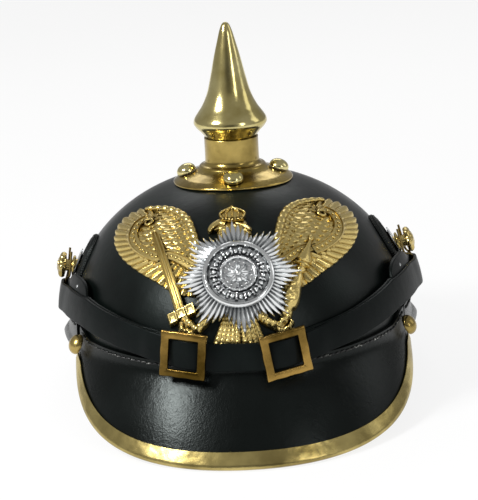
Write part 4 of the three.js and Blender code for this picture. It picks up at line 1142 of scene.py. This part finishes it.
# ---- Chin strap ----
# The strap is black bridle leather in three lengths. The middle one swells out through the
# buckles. Each side one is folded round its pin, and its inner end is a rounded tab held by a rivet.
SWELL = [(0, 8.5), (1.3, 8.4), (2.6, 8.0), (4, 6.9), (5.4, 5.9), (6.2, 5.5)]  # degrees, out
SWELL_END, TUCK, TUCKED_OUT, STRAP_ROWS, MIDDLE_STEPS = 6.2, 9.0, 3.9, 8, 150
SIDE_START, SIDE_STEPS, FOLD_STEPS = 6.1, 90, 14
# In degrees: where the layers close up behind the buckle and part before the fold, and where the tab shows.
CLOSE_FROM, CLOSE_TO, PART_FROM, PART_TO = 3.5, 8, 74, 82
TAB_FROM, TAB_ROUND, TAB_FADE, TAB_END = 57, 9, 72, 88
TAB_RISE, TAB_RIVET_TURN, TAB_RIVET_UP = 7.0, 66, 9.8  # mm, degrees, mm
SETTLE_FROM, SETTLE_TO = 6, 12
# Strap leather: smooth, waxed and nearly black, duller than the skull, with faint creases.
strap_leather = leather("waxed_strap_leather", "#060909", "#0d1211", 0.42, 0.5, 0.05, 0.12, 9.0, 0.2)


def crinkle(turn, across):
    """Faint waves that handling has left in the strap."""
    waves = sin(0.9 * turn + 0.2 * across) * sin(0.37 * turn + 1.3)
    return 0.14 * waves - 0.12 * (across / (STRAP_WIDTH / 2)) ** 2


def middle_strap(i, j, is_face):
    turn = right.turn - TUCK + (left.turn - right.turn + 2 * TUCK) * i / MIDDLE_STEPS
    pair = left if turn > (left.turn + right.turn) / 2 else right
    from_buckle = abs(turn - pair.turn)
    is_outward = (turn - pair.turn) * pair.side > 0
    settle = 0 if is_outward else smooth_step(SETTLE_FROM, SETTLE_TO, from_buckle)
    out = between_rows(SWELL, min(from_buckle, SWELL_END), 1)
    out += (TUCKED_OUT - out) * settle + STRAP_THICK * (0.5 if is_face else -0.5)
    across = STRAP_WIDTH * (j / STRAP_ROWS - 0.5)
    return strap_point(turn, across, out + crinkle(turn, across))


form, looks = sheet(middle_strap, MIDDLE_STEPS, STRAP_ROWS), {"edge_mm": 0.4, "edge_steps": 3}
solid("strap_middle_leather", form, strap_leather, "strap_leather", "strap_middle", **looks)
for pair in (left, right):

    def folded_strap(i, j, is_face):
        """Walks the outer layer to the fold, round it, and back along the inner layer."""
        start = abs(pair.turn) + SIDE_START
        across = STRAP_WIDTH * (j / STRAP_ROWS - 0.5)
        half = STRAP_THICK * (0.5 if is_face else -0.5)
        if SIDE_STEPS < i < SIDE_STEPS + FOLD_STEPS:
            bend = pi * (0.5 - (i - SIDE_STEPS) / FOLD_STEPS)
            past = degrees((FOLD + half) * cos(bend) / (DOME_SIDE + strap_out(FOLD_TURN)))
            out = strap_out(FOLD_TURN) + (FOLD + half) * sin(bend)
            return strap_point(pair.side * (FOLD_TURN + past), across, out)
        is_outer = i <= SIDE_STEPS
        walked = i / SIDE_STEPS if is_outer else 1 - (i - SIDE_STEPS - FOLD_STEPS) / SIDE_STEPS
        here = start + (FOLD_TURN - start) * walked
        closed = smooth_step(start + CLOSE_FROM, start + CLOSE_TO, here)
        parted = max(1 - closed, smooth_step(PART_FROM, PART_TO, here))
        away = (STRAP_THICK + GAP) / 2 * (1 - parted) + FOLD * parted + half
        if not is_outer:
            from_end = min(1, max(0, (here - TAB_FROM) / TAB_ROUND))
            tab = TAB_RISE * sqrt(from_end * (2 - from_end)) * (1 - smooth_step(TAB_FADE, TAB_END, here))
            across += tab * max(0, 2 * j / STRAP_ROWS - 1)
        return strap_point(pair.side * here, across, strap_out(here) + (away if is_outer else -away))

    name = f"strap_{pair.name}"
    form = sheet(folded_strap, 2 * SIDE_STEPS + FOLD_STEPS, STRAP_ROWS)
    solid(f"{name}_leather", form, strap_leather, "strap_leather", name, **looks)
    seat = strap_point(pair.side * TAB_RIVET_TURN, TAB_RIVET_UP, strap_out(TAB_RIVET_TURN) - 0.5)
    outward = Vector((seat.x, seat.y, 20))
    rivet = domed(1.2, 0.7, 4, 0.2)
    head_on(f"tab_rivet_{pair.name}", rivet, seat, outward, plated_washer, "silver_plate", segments=16)

# ---- Buckles ----
# Two plain square frames, sawn from sheet brass and filed by hand, so that their sides aren't
# quite straight. They have never been polished: dark brown patches, and bright worn edges.
BUCKLE_WIDTH, BUCKLE_HEIGHT, WINDOW_WIDTH, WINDOW_HEIGHT = 25.5, 24.5, 16.5, 16.4
BUCKLE_SEAT, BUCKLE_COLUMNS, FILED = 8.1, 64, 0.12
BUCKLE_SECTION = [(0, 0), (0, 1.75), (0.1, 2.1), (0.5, 2.2), (0.9, 2.1), (1, 1.75), (1, 0)]
SQUARE = [(-1, -1), (1, -1), (1, 1), (-1, 1), (-1, -1)]
unpolished_brass = metal("unpolished_brass", "#4a3913", "#a58546", 0.24, 0.8, 0.03, 4.0, 0.1)

for pair in (left, right):
    seat = strap_point(pair.turn, 0, BUCKLE_SEAT)
    beyond = strap_point(pair.turn + 1, 0, BUCKLE_SEAT)
    across = Vector((beyond.x - seat.x, beyond.y - seat.y, 0)).normalized()
    up = (strap_point(pair.turn, 1, BUCKLE_SEAT) - seat).normalized()
    out = across.cross(up).normalized()
    tilted = across * cos(pair.tilt) + up * sin(pair.tilt)
    up = up * cos(pair.tilt) - across * sin(pair.tilt)

    def buckle_point(share, angle, height):
        """Share is 0 along the window and 1 along the outside."""
        (u, v), _ = along_path(SQUARE, angle / TURN)
        file_mark = FILED * sin(9 * u + 7 * v + pair.turn) * share
        wide = WINDOW_WIDTH / 2 + (BUCKLE_WIDTH - WINDOW_WIDTH) / 2 * share + file_mark
        tall = WINDOW_HEIGHT / 2 + (BUCKLE_HEIGHT - WINDOW_HEIGHT) / 2 * share + file_mark
        return seat + tilted * u * wide + up * v * tall + out * height

    name = f"buckle_{pair.name}"
    form, looks = turned(BUCKLE_SECTION, BUCKLE_COLUMNS, buckle_point, "joined"), {"edge_mm": 0.3}
    solid(f"{name}_brass", form, unpolished_brass, "tarnished_brass", name, edge_angle=30, **looks)

# ---- Floor, light and camera ----
# A pale sweep under soft boxes, as in a small product studio.
REACH = 6  # metres from the middle to each edge
floor_mesh = bpy.data.meshes.new("floor")
corners = [(-REACH, -REACH, 0), (REACH, -REACH, 0), (REACH, REACH, 0), (-REACH, REACH, 0)]
floor_mesh.from_pydata(corners, [], [(0, 1, 2, 3)])
floor = add_object("floor", floor_mesh)
paper, tree, shader = new_material("pale_paper")
glow = {"Emission Color": linear("#f8f8f8"), "Emission Strength": 0.9}
connect(tree, shader, {"Base Color": linear("#686868"), "Roughness": 0.9, **glow})
floor_mesh.materials.append(paper)

# The room is evenly pale, but dim in front of the helmet, where nothing is lit.
DIM, PALE = {"From Min": -0.97, "To Min": 0.08}, {"From Max": -0.86, "To Max": 0.36}
world = bpy.data.worlds.new("studio")
bpy.context.scene.world = world
world.use_nodes = True
tree = world.node_tree
toward = add_node(tree, "TexCoord", {}, "Generated")
front = add_node(tree, "SeparateXYZ", {"Vector": toward}, "Y")
room = add_node(tree, "MapRange", {"Value": front, **DIM, **PALE})
connect(tree, tree.nodes["Background"], {"Color": linear("#ffffff"), "Strength": room})

# Each soft box is a rectangular area light, in metres and watts, aimed at the helmet.
LIT_HEIGHT = 0.1
SOFT_BOXES = [
    # (name, place, size, power)
    ("key_box", (-0.85, -0.62, 0.95), (0.3, 0.36), 17),
    ("front_box", (0.9, -1.15, 0.6), (0.25, 0.6), 2.5),
    ("side_box", (1.4, 0.1, 0.8), (0.5, 0.8), 1.6),
    ("back_box", (0, 1.2, 1.0), (0.9, 0.3), 2.5),
]
for name, place, size, power in SOFT_BOXES:
    data = bpy.data.lights.new(name, "AREA")
    data.shape = "RECTANGLE"
    data.size, data.size_y = size
    data.energy = power
    light = add_object(name, data)
    light.location = place
    light.rotation_euler = (UP * LIT_HEIGHT - light.location).to_track_quat("-Z", "Y").to_euler()

# The camera looks down a little on the front of the helmet, which sits turned three degrees.
AIM_HEIGHT, DISTANCE, TILT_DOWN, ROLL = 80 * MM, 952 * MM, radians(15.4), radians(3)
camera_data = bpy.data.cameras.new("camera")
camera = add_object("camera", camera_data)
camera_data.sensor_width = 36
camera_data.lens = 115.2
camera_data.shift_x = 0.004
camera_data.clip_start = 0.05
back = Vector((0, -cos(TILT_DOWN), sin(TILT_DOWN)))
camera.location = axis + UP * AIM_HEIGHT + back * DISTANCE
camera.rotation_euler = (-back).to_track_quat("-Z", "Y").to_euler()
camera.rotation_euler.rotate_axis("Z", -ROLL)
bpy.context.scene.camera = camera
bpy.context.scene.view_settings.view_transform = "Standard"
